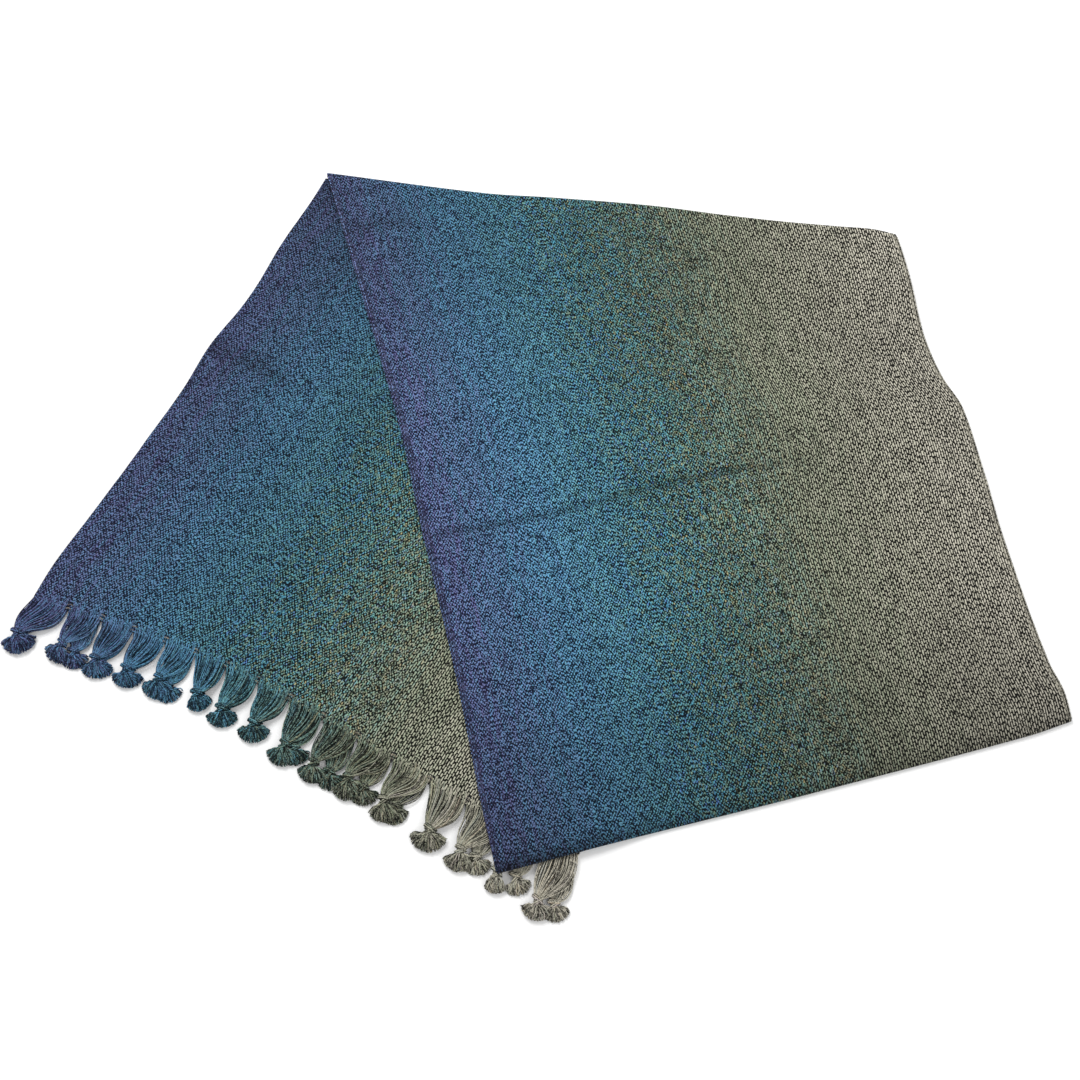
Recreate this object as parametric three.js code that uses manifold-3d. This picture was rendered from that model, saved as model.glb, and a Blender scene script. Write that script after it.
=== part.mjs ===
// A handwoven fringed scarf, laid flat: folded end to end, then folded again at an angle.
// Millimetres, +Z up. The scarf lies on z = 0 with its origin under the middle of its outline.
// Four layers lie on each other. From the floor up: the under stretch, the lower stretch,
// the inner stretch and the upper stretch. Only the upper and the lower stretch show.
import * as THREE from 'three';
import { mergeVertices } from 'three/addons/utils/BufferGeometryUtils.js';
import Module from 'manifold-3d';

const wasm = await Module();
wasm.setup();

// Driving sizes of the cloth
const CLOTH = 1.8;
const GAP = 0.3;
const LAYER = CLOTH + GAP;
const WIDTH = 450;
const TWO_LAYERS = LAYER + CLOTH;
const FOUR_LAYERS = 3 * LAYER + CLOTH;

// Radii of the two rolled edges, measured to the outside of the cloth
const BOTTOM_ROLL = TWO_LAYERS / 2;
const TOP_ROLL = FOUR_LAYERS / 2;

// Corners in plan. The slanted fold runs from APEX to SHOULDER, the cross fold from
// POINT to CORNER, and the woven end of the lower stretch from HEM_LEFT to HEM_RIGHT.
const APEX = [-183.5, 330];
const SHOULDER = [301.5, 270.5];
const POINT = [-31.5, -259];
const CORNER = [404.3, -145.3];
const HEM_LEFT = [-396, -49.6];
const HEM_RIGHT = [25.8, -250];

// How far each edge wanders off the straight line between its corners
const WAVE_COLUMNS = ['at', 'off'];
const SLANTED_FOLD = table(WAVE_COLUMNS, [
  [0, 0], [0.28, -3.5], [0.4, -0.9], [0.57, 1.4], [0.7, -0.2], [0.8, -0.6], [0.9, 0.4], [0.96, 1.2], [1, -1.5],
]);
const CROSS_FOLD = table(WAVE_COLUMNS, [[0, 0], [0.25, 0], [0.5, -1.8], [0.92, -2.4], [1, 0]]);
const LEFT_SELVEDGE = table(WAVE_COLUMNS, [[0, 0], [0.08, 1.6], [0.25, 7], [0.45, 8.8], [0.6, 11], [0.8, 6], [1, 0]]);
const RIGHT_SELVEDGE = table(WAVE_COLUMNS, [
  [0, 0], [0.05, 1.6], [0.11, -2], [0.36, -2.1], [0.49, 1.6], [0.62, 3.2], [0.69, -4.2],
  [0.76, -7.2], [0.81, -6.4], [0.9, -1.8], [1, -0.6],
]);
const LOWER_SELVEDGE = table(WAVE_COLUMNS, [
  [0, 0], [0.17, 0.3], [0.27, 3.2], [0.33, 3], [0.42, -0.4], [0.52, 2.3], [0.64, 1.9], [0.78, 0.6], [0.92, -2], [1, 0],
]);
const HEM = table(WAVE_COLUMNS, [[0, 0], [0.12, 8], [0.34, 17], [0.53, 13.5], [0.79, 3.6], [1, 0]]);

// How the lower stretch is tucked under the upper one, and how far the inner one peeps out
const TUCK = 20;
const TUCK_START = 7;
const INNER_PEEP = 2.5;
const UNDER_INSET = 0.8;
const BAY_REACH = 120;
const NOSE_OVERLAP = 1.5;

// Soft shape of the upper stretch: the step over the hidden edge and the raised point
const STEP_WIDTH = 40;
const STEP_START = 4;
const POINT_LIFT = 3.5;
const POINT_REACH = 60;
const WAVE_HEIGHT = 1.1;
const EDGE_WAVE_HEIGHT = 1.5;
const LOWER_WAVE_HEIGHT = 1.1;
const CALM_WIDTH = 40;

// How finely the walls are divided
const ACROSS = 22;
const ALONG = 22;
const BOTTOM_ROLL_STEPS = 4;
const TOP_ROLL_STEPS = 6;
const LOWER_ACROSS = 16;
const LOWER_ALONG = 20;

// Fringe: sixteen knotted tassels on each woven end, one lying on the other.
// lean and reach place the front knot from the middle of its root, turn and tail place its
// tuft, spread is the tuft's width, rear_x and rear_y place the rear knot from the front one.
const TASSELS = table(['lean', 'reach', 'turn', 'tail', 'spread', 'rise', 'rear_x', 'rear_y'], [
  [-8, 29.9, 11, 17, 25, 7.6, 3, 0],
  [-0.5, 26, -23, 16, 19, 7.6, 8.7, -5.8],
  [1.7, 28.3, 6, 15.5, 22, 7.6, 3, -1],
  [0.8, 28.1, 0, 14.6, 22, 7.6, 2, 0],
  [0.6, 25.7, -8, 17, 20, 7.6, 6.2, -5],
  [5.9, 25.2, 11, 14.2, 15, 7.6, 1, 2],
  [1.6, 28.1, 4, 15, 22, 7.6, 2, 0],
  [1.3, 26.8, -2, 15.4, 23, 7.6, 2, 1],
  [1.5, 28.7, -11, 17.5, 19, 7.6, 7, -1.9],
  [-2.1, 29.7, -10, 16, 20, 7.6, 11.5, -6.9],
  [-5.3, 25.7, 8, 18.4, 20, 7.6, 10.9, -7.4],
  [-5.6, 26.3, 12, 17.6, 21, 7.6, 6.8, -4.9],
  [2.9, 28.3, -8, 17.4, 25, 7.6, 1, 0],
  [-1.5, 29.8, -6, 17, 19, 7.6, 11.3, -5.4],
  [-1.2, 32.4, -8, 15.6, 12, 4.4, 13.9, -2.6],
  [4.3, 36.1, -6, 15, 22, 7.6, 12.1, -1.7],
]);
const TASSEL_CROWDING = 0.035;
const REAR_TURN = 14;
const REAR_TAIL = 14.5;
const REAR_SPREAD = 15;
const REAR_RISE = 2.2;
const ROOT_CLEARANCE = 0.9;
const ARCH_START = 0.3;
const BULGE_PLACE = 0.55;
const LOCK_GAP = 0.5;
const LOCK_CORNERS = [[-1, -0.6], [0.6, -1], [1, 0.6], [-0.6, 1]];
const FRONT_LOCKS = { upper: 4, tuft: 3, steps: 2, thick: 1.7, knot: [4.6, 4.2, 2.9], tuftThick: 2.6, fall: 2 };
const REAR_LOCKS = { upper: 3, tuft: 3, steps: 2, thick: 1.4, knot: [4.2, 3.8, 1.8], tuftThick: 1.8, fall: 0.7 };
const KNOT_WAIST = 0.5;
const BUNDLE_BULGE = 3.5;

const indigo = new THREE.MeshStandardMaterial({ color: 0x4a6488, roughness: 0.95, metalness: 0 });
const teal = new THREE.MeshStandardMaterial({ color: 0x4f7a86, roughness: 0.95, metalness: 0 });
const olive = new THREE.MeshStandardMaterial({ color: 0x6d7263, roughness: 0.95, metalness: 0 });
const stone = new THREE.MeshStandardMaterial({ color: 0x96938a, roughness: 0.95, metalness: 0 });

// Small tools for tables, numbers and plan points

function table(columns, rows) {
  return rows.map((row) => Object.fromEntries(row.map((value, i) => [columns[i], value])));
}

function lerp(a, b, t) {
  return a + (b - a) * t;
}

function mix(p, q, t) {
  return p.map((value, i) => lerp(value, q[i], t));
}

function smooth(t) {
  const s = Math.min(Math.max(t, 0), 1);
  return s * s * (3 - 2 * s);
}

function unit(from, to) {
  const length = Math.hypot(to[0] - from[0], to[1] - from[1]);
  return [(to[0] - from[0]) / length, (to[1] - from[1]) / length];
}

function shift(point, direction, distance) {
  return [point[0] + direction[0] * distance, point[1] + direction[1] * distance];
}

// A smooth curve through a table's rows, read at one place
function offsetAt(rows, at) {
  const last = rows.length - 1;
  const s = Math.min(Math.max(at, 0), 1);
  let i = 0;
  while (i < last - 1 && s > rows[i + 1].at) i += 1;
  const slope = (a, b) => (rows[b].off - rows[a].off) / (rows[b].at - rows[a].at);
  const span = rows[i + 1].at - rows[i].at;
  const t = (s - rows[i].at) / span;
  const startSlope = slope(Math.max(i - 1, 0), i + 1) * span;
  const endSlope = slope(i, Math.min(i + 2, last)) * span;
  const t2 = t * t;
  const t3 = t2 * t;
  return (2 * t3 - 3 * t2 + 1) * rows[i].off + (t3 - 2 * t2 + t) * startSlope
    + (3 * t2 - 2 * t3) * rows[i + 1].off + (t3 - t2) * endSlope;
}

// An edge between two corners, moved aside by its table
function edge(from, to, rows, side) {
  return (t) => shift(mix(from, to, t), side, offsetAt(rows, t));
}

// The plan of a stretch of cloth between its four edges (a Coons patch)
function patch(left, right, start, end) {
  return (u, v) => {
    const sides = mix(left(v), right(v), u);
    const ends = mix(start(u), end(u), v);
    const corners = mix(mix(start(0), start(1), u), mix(end(0), end(1), u), v);
    return [sides[0] + ends[0] - corners[0], sides[1] + ends[1] - corners[1]];
  };
}

// Plan of the two stretches that show

const ALONG_UPPER = unit(POINT, APEX);
const ACROSS_UPPER = [ALONG_UPPER[1], -ALONG_UPPER[0]];
const ALONG_LOWER = unit(APEX, HEM_LEFT);
const ACROSS_LOWER = [-ALONG_LOWER[1], ALONG_LOWER[0]];
const FOLD_SLANT = 1 / Math.abs(unit(APEX, SHOULDER)[0] * ACROSS_UPPER[0] + unit(APEX, SHOULDER)[1] * ACROSS_UPPER[1]);

// The fold lines lie inside the outline by the radius of their rolled edges
const topIn = (point) => shift(point, ALONG_UPPER, -TOP_ROLL * FOLD_SLANT);
const bottomIn = (point) => shift(point, ALONG_UPPER, BOTTOM_ROLL);

const slantedFold = edge(topIn(APEX), topIn(SHOULDER), SLANTED_FOLD, [0, 1]);
const crossFold = edge(bottomIn(POINT), bottomIn(CORNER), CROSS_FOLD, [0, 1]);
const leftSelvedge = edge(bottomIn(POINT), topIn(APEX), LEFT_SELVEDGE, ACROSS_UPPER);
const rightSelvedge = edge(bottomIn(CORNER), topIn(SHOULDER), RIGHT_SELVEDGE, ACROSS_UPPER);
const upperPlan = patch(leftSelvedge, rightSelvedge, crossFold, slantedFold);

const lowerSelvedge = edge(topIn(APEX), HEM_LEFT, LOWER_SELVEDGE, ACROSS_LOWER);
const hem = edge(HEM_LEFT, HEM_RIGHT, HEM, [-ALONG_LOWER[0], -ALONG_LOWER[1]]);

// Height of the upper stretch's outer face
function upperHeight(u, v) {
  const [x, y] = upperPlan(u, v);
  const hidden = unit(SHOULDER, HEM_RIGHT);
  const beyond = (y - SHOULDER[1]) * hidden[0] - (x - SHOULDER[0]) * hidden[1] - STEP_START;
  const covered = 1 - smooth(beyond / STEP_WIDTH);
  const toPoint = Math.hypot(x - POINT[0], y - POINT[1]) / POINT_REACH;
  const lift = POINT_LIFT * (1 - smooth(toPoint));
  const calm = smooth((1 - v) / 0.25) * smooth((v + 0.02) / 0.2);
  const swell = WAVE_HEIGHT * (0.5 + 0.5 * Math.sin(2 * Math.PI * (1.3 * u + 0.8 * v) + 0.6));
  const ripple = EDGE_WAVE_HEIGHT * u ** 5 * (0.5 + 0.5 * Math.cos(2 * Math.PI * 2.6 * v));
  return lerp(TWO_LAYERS, FOUR_LAYERS, covered) + lift + calm * (swell + ripple);
}

// Geometry from grids, rings and outlines

function meshFrom(positions, triangles) {
  const geometry = new THREE.BufferGeometry();
  geometry.setAttribute('position', new THREE.Float32BufferAttribute(positions.flat(), 3));
  geometry.setIndex(triangles.flat());
  return geometry;
}

// A closed wall between an outer and an inner grid of points, grid[i][j]
function wall(outer, inner) {
  const rows = outer.length;
  const columns = outer[0].length;
  const positions = [...outer.flat(), ...inner.flat()];
  const at = (side, i, j) => side * rows * columns + i * columns + j;
  const triangles = [];
  const quad = (a, b, c, d) => triangles.push([a, b, c], [a, c, d]);
  for (let i = 0; i < rows - 1; i += 1) {
    for (let j = 0; j < columns - 1; j += 1) {
      quad(at(0, i, j), at(0, i + 1, j), at(0, i + 1, j + 1), at(0, i, j + 1));
      quad(at(1, i, j), at(1, i, j + 1), at(1, i + 1, j + 1), at(1, i + 1, j));
    }
  }
  for (let i = 0; i < rows - 1; i += 1) {
    quad(at(0, i, 0), at(1, i, 0), at(1, i + 1, 0), at(0, i + 1, 0));
    quad(at(0, i, columns - 1), at(0, i + 1, columns - 1), at(1, i + 1, columns - 1), at(1, i, columns - 1));
  }
  for (let j = 0; j < columns - 1; j += 1) {
    quad(at(0, 0, j), at(0, 0, j + 1), at(1, 0, j + 1), at(1, 0, j));
    quad(at(0, rows - 1, j), at(1, rows - 1, j), at(1, rows - 1, j + 1), at(0, rows - 1, j + 1));
  }
  return meshFrom(positions, triangles);
}

// A solid through equal rings of points, each end closed by its ring's shape laid flat
function loft(rings, flat) {
  const count = rings[0].length;
  const cap = (ring) => THREE.ShapeUtils.triangulateShape(ring.map(flat), []);
  const triangles = [];
  for (let i = 0; i < rings.length - 1; i += 1) {
    for (let k = 0; k < count; k += 1) {
      const next = (k + 1) % count;
      triangles.push([i * count + k, i * count + next, (i + 1) * count + k]);
      triangles.push([i * count + next, (i + 1) * count + next, (i + 1) * count + k]);
    }
  }
  const last = (rings.length - 1) * count;
  for (const [a, b, c] of cap(rings[0])) triangles.push([a, c, b]);
  for (const [a, b, c] of cap(rings[rings.length - 1])) triangles.push([last + a, last + b, last + c]);
  return meshFrom(rings.flat(), triangles);
}

// An upright block over a plan outline
function prism(outline, low, high) {
  const shape = new THREE.Shape(outline.map(([x, y]) => new THREE.Vector2(x, y)));
  return new THREE.ExtrudeGeometry(shape, { depth: high - low, bevelEnabled: false }).translate(0, 0, low);
}

function solid(geometry) {
  const bare = geometry.clone();
  bare.deleteAttribute('normal');
  bare.deleteAttribute('uv');
  const merged = mergeVertices(bare, 1e-4);
  const body = new wasm.Manifold(new wasm.Mesh({
    numProp: 3,
    vertProperties: new Float32Array(merged.attributes.position.array),
    triVerts: new Uint32Array(merged.index.array),
  }));
  return body;
}

function geometryOf(body) {
  const mesh = body.getMesh();
  const geometry = new THREE.BufferGeometry();
  geometry.setAttribute('position', new THREE.BufferAttribute(mesh.vertProperties, 3));
  geometry.setIndex(new THREE.BufferAttribute(mesh.triVerts, 1));
  return geometry;
}

function steps(count) {
  return Array.from({ length: count + 1 }, (_, i) => i / count);
}

// One section of the upper stretch, from under the cross fold, over the top and round the
// slanted fold to the floor. depth is measured inwards from the outer face.
function upperSection(u, depth) {
  const points = [];
  const bottom = upperPlan(u, 0);
  const bottomOut = unit(upperPlan(u, 0.02), bottom);
  const bottomAxis = upperHeight(u, 0) - BOTTOM_ROLL;
  const bottomRadius = BOTTOM_ROLL - depth;
  for (const t of steps(BOTTOM_ROLL_STEPS).slice(0, -1)) {
    const angle = Math.PI * (t - 0.5);
    points.push([...shift(bottom, bottomOut, bottomRadius * Math.cos(angle)), bottomAxis + bottomRadius * Math.sin(angle)]);
  }
  for (const v of steps(ALONG)) points.push([...upperPlan(u, v), upperHeight(u, v) - depth]);
  const top = upperPlan(u, 1);
  const topOut = unit(upperPlan(u, 0.98), top);
  const topRadius = TOP_ROLL - depth;
  for (const t of steps(TOP_ROLL_STEPS).slice(1)) {
    const angle = Math.PI * (0.5 - t);
    points.push([...shift(top, topOut, FOLD_SLANT * topRadius * Math.cos(angle)), TOP_ROLL + topRadius * Math.sin(angle)]);
  }
  return points;
}

function upperStretch() {
  const outer = steps(ACROSS).map((u) => upperSection(u, 0));
  const inner = steps(ACROSS).map((u) => upperSection(u, CLOTH));
  return wall(outer, inner);
}

// Plan of the lower stretch as far as it shows, with its tuck under the upper one

const tuckLine = (v) => upperPlan(TUCK / WIDTH, v);

function tuckMeetsHem() {
  let low = 0;
  let high = 0.5;
  const across = (v) => {
    const point = tuckLine(v);
    let u = 0;
    for (let i = 0; i < 24; i += 1) {
      const guess = hem(u);
      const miss = (point[0] - guess[0]) * ACROSS_LOWER[0] + (point[1] - guess[1]) * ACROSS_LOWER[1];
      u += miss / WIDTH;
    }
    const end = hem(u);
    const past = (point[0] - end[0]) * ALONG_LOWER[0] + (point[1] - end[1]) * ALONG_LOWER[1];
    return { u, past };
  };
  for (let i = 0; i < 40; i += 1) {
    const middle = (low + high) / 2;
    if (across(middle).past > 0) low = middle;
    else high = middle;
  }
  return { v: high, u: across(high).u };
}

const TUCK_END = tuckMeetsHem();

// The lower stretch from its selvedge (u = 0) to its tucked edge (u = 1), from fold to hem
function lowerPlanWith(clearance) {
  const foldShare = TUCK_START / Math.hypot(HEM_LEFT[0] - APEX[0], HEM_LEFT[1] - APEX[1]);
  const tuckTop = 1 - TUCK_START / Math.hypot(POINT[0] - APEX[0], POINT[1] - APEX[1]);
  const left = (v) => lowerSelvedge(lerp(foldShare, 1, v));
  const right = (v) => shift(tuckLine(lerp(tuckTop, TUCK_END.v, v)), ACROSS_UPPER, clearance);
  const start = (u) => mix(left(0), right(0), u);
  const end = (u) => {
    const woven = hem(u * TUCK_END.u);
    return shift(woven, ACROSS_UPPER, clearance * u);
  };
  return patch(left, right, start, end);
}

const lowerPlan = lowerPlanWith(0);

function lowerStretch() {
  const grid = (z) => steps(LOWER_ACROSS).map((u) => steps(LOWER_ALONG).map((v) => {
    const [x, y] = lowerPlan(u, v);
    const tucked = lowerPlan(1, v);
    const clear = Math.hypot(x - tucked[0], y - tucked[1]) - TUCK - 3 * INNER_PEEP;
    const calm = smooth(clear / CALM_WIDTH) * smooth((1 - v) / 0.08);
    const swell = LOWER_WAVE_HEIGHT * (0.5 + 0.5 * Math.sin(2 * Math.PI * (1.1 * u + 1.9 * v) - 0.8));
    return [x, y, z + calm * swell];
  }));
  // Rows run from the fold down to the hem, so the faces turn the other way from the upper stretch
  const outer = grid(TWO_LAYERS).reverse();
  const inner = grid(LAYER).reverse();
  return wall(outer, inner);
}

// The hidden layers: the inner stretch with its fold, filled down to the under stretch

// How far the inner stretch is moved aside: it peeps out along the upper one's left edge
function innerShift(u, v) {
  if (u === 0) return -INNER_PEEP * Math.sin(Math.PI * v) ** 0.7;
  return u === 1 ? -UNDER_INSET : 0;
}

function hiddenPlace(u, v) {
  return shift(upperPlan(u, v), ACROSS_UPPER, innerShift(u, v));
}

// The core stops a seam short of the two folds of the upper stretch
function hiddenCore() {
  const place = (u, v) => {
    if (v === 0) return shift(hiddenPlace(u, 0), unit(upperPlan(u, 0.02), upperPlan(u, 0)), -GAP);
    if (v === 1) return shift(hiddenPlace(u, 1), unit(upperPlan(u, 0.98), upperPlan(u, 1)), -GAP * FOLD_SLANT);
    return hiddenPlace(u, v);
  };
  const grid = (height) => steps(ACROSS).map((u) => steps(ALONG).map((v) => [...place(u, v), height(u, v)]));
  return wall(grid((u, v) => upperHeight(u, v) - LAYER), grid(() => 0));
}

// The inner stretch's own rounded fold, inside the slanted fold of the upper one
function hiddenNose() {
  const radius = LAYER - GAP / 2;
  const rings = steps(ACROSS).map((u) => {
    const top = hiddenPlace(u, 1);
    const topOut = unit(upperPlan(u, 0.98), upperPlan(u, 1));
    const back = shift(top, topOut, -NOSE_OVERLAP);
    const round = steps(TOP_ROLL_STEPS).map((t) => {
      const angle = Math.PI * (t - 0.5);
      const reach = FOLD_SLANT * radius * Math.cos(angle);
      return [...shift(top, topOut, reach), TOP_ROLL + radius * Math.sin(angle)];
    });
    return [[...back, TOP_ROLL - radius], ...round, [...back, TOP_ROLL + radius]];
  });
  const flat = ([x, y, z]) => new THREE.Vector2(x * ALONG_UPPER[0] + y * ALONG_UPPER[1], z);
  return loft(rings, flat);
}

// The under stretch, cut a little smaller than the lower one that covers it
function underOutline() {
  const left = steps(8).map((t) => shift(lowerSelvedge(lerp(0.02, 1, t)), ACROSS_LOWER, UNDER_INSET));
  const end = steps(16).slice(1).map((u) => hem(u));
  const fold = steps(6).reverse().map((u) => shift(slantedFold(u), ALONG_UPPER, -GAP * FOLD_SLANT - 1));
  return [...left, ...end, ...fold];
}

// The room under the raised point, past the woven end, where the last tassels pass
function tasselBay() {
  const us = [-0.05, ...steps(ACROSS).filter((u) => u < 0.3)];
  const vs = [-0.05, ...steps(ALONG).filter((v) => v < 0.3)];
  const ceiling = us.map((u) => vs.map((v) => {
    const height = upperHeight(Math.max(u, 0), Math.max(v, 0)) - TWO_LAYERS;
    return [...upperPlan(u, v), height];
  }));
  const below = ceiling.map((row) => row.map(([x, y]) => [x, y, -5]));
  const pastHem = steps(8).map((t) => hem(lerp(0.6, 1, t)));
  const outline = [...pastHem, shift(hem(1), ALONG_LOWER, BAY_REACH), shift(hem(0.6), ALONG_LOWER, BAY_REACH)];
  return solid(wall(ceiling, below)).intersect(solid(prism(outline, -10, 40)));
}

function hiddenLayers() {
  const slotPlan = lowerPlanWith(GAP);
  const slotTop = shift(slotPlan(1, 0), ALONG_UPPER, GAP);
  const tuckSide = steps(LOWER_ALONG).map((v) => slotPlan(1, v));
  const slotLeft = shift(slotPlan(0, 0), ALONG_UPPER, GAP);
  const slotOutline = [
    shift(slotLeft, ACROSS_UPPER, -TUCK),
    slotLeft,
    slotTop,
    ...tuckSide,
    shift(slotPlan(1, 1), ALONG_LOWER, 60),
    shift(slotPlan(1, 1), ACROSS_UPPER, -3 * TUCK),
    shift(slotPlan(1, 0.5), ACROSS_UPPER, -3 * TUCK),
  ];
  const slot = solid(prism(slotOutline, CLOTH, 2 * LAYER));
  const core = solid(hiddenCore()).add(solid(hiddenNose())).subtract(slot);
  const under = solid(prism(underOutline(), 0, CLOTH));
  return geometryOf(core.add(under).subtract(tasselBay()));
}

// Fringe

// One lock: a flat tapering strand of four sides along a bent path
// that starts square to the line given by its first ring.
function lock(path, widths, thicks, count, firstAcross) {
  const rings = steps(count).map((t) => {
    const centre = path(t);
    const along = unit(path(Math.max(t - 0.05, 0)), path(Math.min(t + 0.05, 1)));
    const across = t === 0 && firstAcross ? firstAcross : [-along[1], along[0]];
    const halfWidth = lerp(widths[0], widths[1], t) / 2;
    const halfThick = lerp(thicks[0], thicks[1], t) / 2;
    return LOCK_CORNERS.map(([a, b]) => {
      const side = shift(centre, across, a * halfWidth);
      return [side[0], side[1], centre[2] + b * halfThick];
    });
  });
  const corner = (point, i) => new THREE.Vector2(...LOCK_CORNERS[i]);
  return solid(loft(rings, corner));
}

// A tassel: locks gathered from the woven end into a knot, and a tuft below it
function tassel(root, knot, tuftEnd, size) {
  const ball = new THREE.SphereGeometry(1, 6, 4).scale(...size.knot).translate(...knot);
  let body = solid(ball);
  const laneWidth = root.width / size.upper;
  for (let k = 0; k < size.upper; k += 1) {
    const lane = (k + 0.5) / size.upper - 0.5;
    const start = shift(root.middle, root.across, lane * root.width);
    const bulged = shift(start, root.along, BULGE_PLACE * root.reach);
    const middle = shift(bulged, root.across, lane * BUNDLE_BULGE);
    const path = (t) => {
      const first = mix(start, middle, t);
      const second = mix(middle, knot, t);
      const [x, y] = mix(first, second, t);
      return [x, y, lerp(root.height, knot[2], smooth((t - ARCH_START) / (1 - ARCH_START)))];
    };
    const widths = [laneWidth - LOCK_GAP, size.knot[0] * KNOT_WAIST];
    body = body.add(lock(path, widths, [size.thick, size.thick], size.steps, root.across));
  }
  for (let k = 0; k < size.tuft; k += 1) {
    const lane = (k + 0.5) / size.tuft - 0.5;
    const down = unit(knot, tuftEnd.middle);
    const across = [-down[1], down[0]];
    const drop = Math.abs(lane) * 0.3 * tuftEnd.width;
    const tip = shift(shift(tuftEnd.middle, across, lane * tuftEnd.width), down, -drop);
    const path = (t) => [...mix([knot[0], knot[1]], tip, t), lerp(knot[2], tuftEnd.height, t)];
    const widths = [size.knot[0] * KNOT_WAIST, tuftEnd.width / size.tuft - LOCK_GAP];
    body = body.add(lock(path, widths, [size.thick, size.tuftThick], 1));
  }
  return geometryOf(body);
}

function hemShare(i) {
  const even = i / TASSELS.length;
  return even - TASSEL_CROWDING * Math.sin(Math.PI * even) ** 2;
}

function tasselRoot(i, height, reach) {
  const from = hem(hemShare(i));
  const to = hem(hemShare(i + 1));
  const middle = shift(mix(from, to, 0.5), ALONG_LOWER, ROOT_CLEARANCE);
  const width = Math.hypot(to[0] - from[0], to[1] - from[1]) - LOCK_GAP;
  return { middle, width, across: unit(from, to), along: ALONG_LOWER, reach, height };
}

function tuft(knot, turn, tail, width, height) {
  const angle = THREE.MathUtils.degToRad(turn - 90);
  return { middle: shift(knot, [Math.cos(angle), Math.sin(angle)], tail), width, height };
}

function frontTassel(i) {
  const row = TASSELS[i];
  const root = tasselRoot(i, LAYER + CLOTH / 2, row.reach);
  const spot = shift(shift(root.middle, ALONG_LOWER, row.reach), ACROSS_LOWER, row.lean);
  const knot = [...spot, row.rise];
  return tassel(root, knot, tuft(knot, row.turn, row.tail, row.spread, row.rise - FRONT_LOCKS.fall), FRONT_LOCKS);
}

function rearTassel(i) {
  const row = TASSELS[i];
  const root = tasselRoot(i, CLOTH / 2 + 0.2, row.reach);
  const spot = shift(shift(root.middle, ALONG_LOWER, row.reach), ACROSS_LOWER, row.lean);
  const knot = [spot[0] + row.rear_x, spot[1] + row.rear_y, REAR_RISE];
  return tassel(root, knot, tuft(knot, REAR_TURN, REAR_TAIL, REAR_SPREAD, REAR_RISE - REAR_LOCKS.fall), REAR_LOCKS);
}

// Assembly

const scarf = new THREE.Group();

function add(name, geometry, material) {
  const mesh = new THREE.Mesh(geometry, material);
  mesh.name = name;
  scarf.add(mesh);
}

add('upper_layer', upperStretch(), teal);
add('lower_layer', lowerStretch(), indigo);
add('hidden_layers', hiddenLayers(), olive);
for (let i = 0; i < TASSELS.length; i += 1) {
  const label = String(i + 1).padStart(2, '0');
  add(`tassel_front_${label}`, frontTassel(i), i < TASSELS.length / 2 ? indigo : stone);
  add(`tassel_rear_${label}`, rearTassel(i), i < TASSELS.length / 2 ? indigo : stone);
}

const outlineBox = new THREE.Box3().setFromObject(scarf);
const middle = outlineBox.getCenter(new THREE.Vector3());
scarf.position.set(-middle.x, -middle.y, 0);

export default scarf;
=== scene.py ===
import math

import bpy
import numpy as np
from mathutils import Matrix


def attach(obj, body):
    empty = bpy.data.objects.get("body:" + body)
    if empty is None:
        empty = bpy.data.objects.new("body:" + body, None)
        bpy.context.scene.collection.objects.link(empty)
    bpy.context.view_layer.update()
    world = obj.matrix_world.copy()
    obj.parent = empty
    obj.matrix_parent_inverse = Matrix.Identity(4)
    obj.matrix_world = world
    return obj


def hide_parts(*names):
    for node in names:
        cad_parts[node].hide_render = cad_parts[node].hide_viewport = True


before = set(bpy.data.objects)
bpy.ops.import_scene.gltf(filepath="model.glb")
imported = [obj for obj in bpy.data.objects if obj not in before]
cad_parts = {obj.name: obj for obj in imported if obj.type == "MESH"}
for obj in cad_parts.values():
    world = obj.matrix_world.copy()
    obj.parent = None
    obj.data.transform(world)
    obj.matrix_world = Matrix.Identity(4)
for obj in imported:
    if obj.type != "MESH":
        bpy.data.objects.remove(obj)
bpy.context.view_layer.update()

# A handwoven scarf with a knotted fringe, laid flat: folded end to end, then folded again
# at an angle. All sizes are millimetres from the middle of the view, on the floor; PLACE moves
# them into the frame, and one division by 1000 makes them metres.

PLACE = np.array([4.552337646484375, -18.022903442382812, 0.0])
CLOTH, GAP, WIDTH = 1.8, 0.3, 450.0
LAYER = CLOTH + GAP
TWO_LAYERS, FOUR_LAYERS = LAYER + CLOTH, 3 * LAYER + CLOTH
BOTTOM_ROLL, TOP_ROLL = TWO_LAYERS / 2, FOUR_LAYERS / 2
ENDS, PICK_PITCH = 380, 2.4  # warp ends across the width, millimetres from weft to weft

APEX, SHOULDER = np.array([-183.5, 330.0]), np.array([301.5, 270.5])
POINT, CORNER = np.array([-31.5, -259.0]), np.array([404.3, -145.3])
HEM_LEFT, HEM_RIGHT = np.array([-396.0, -49.6]), np.array([25.8, -250.0])

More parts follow.
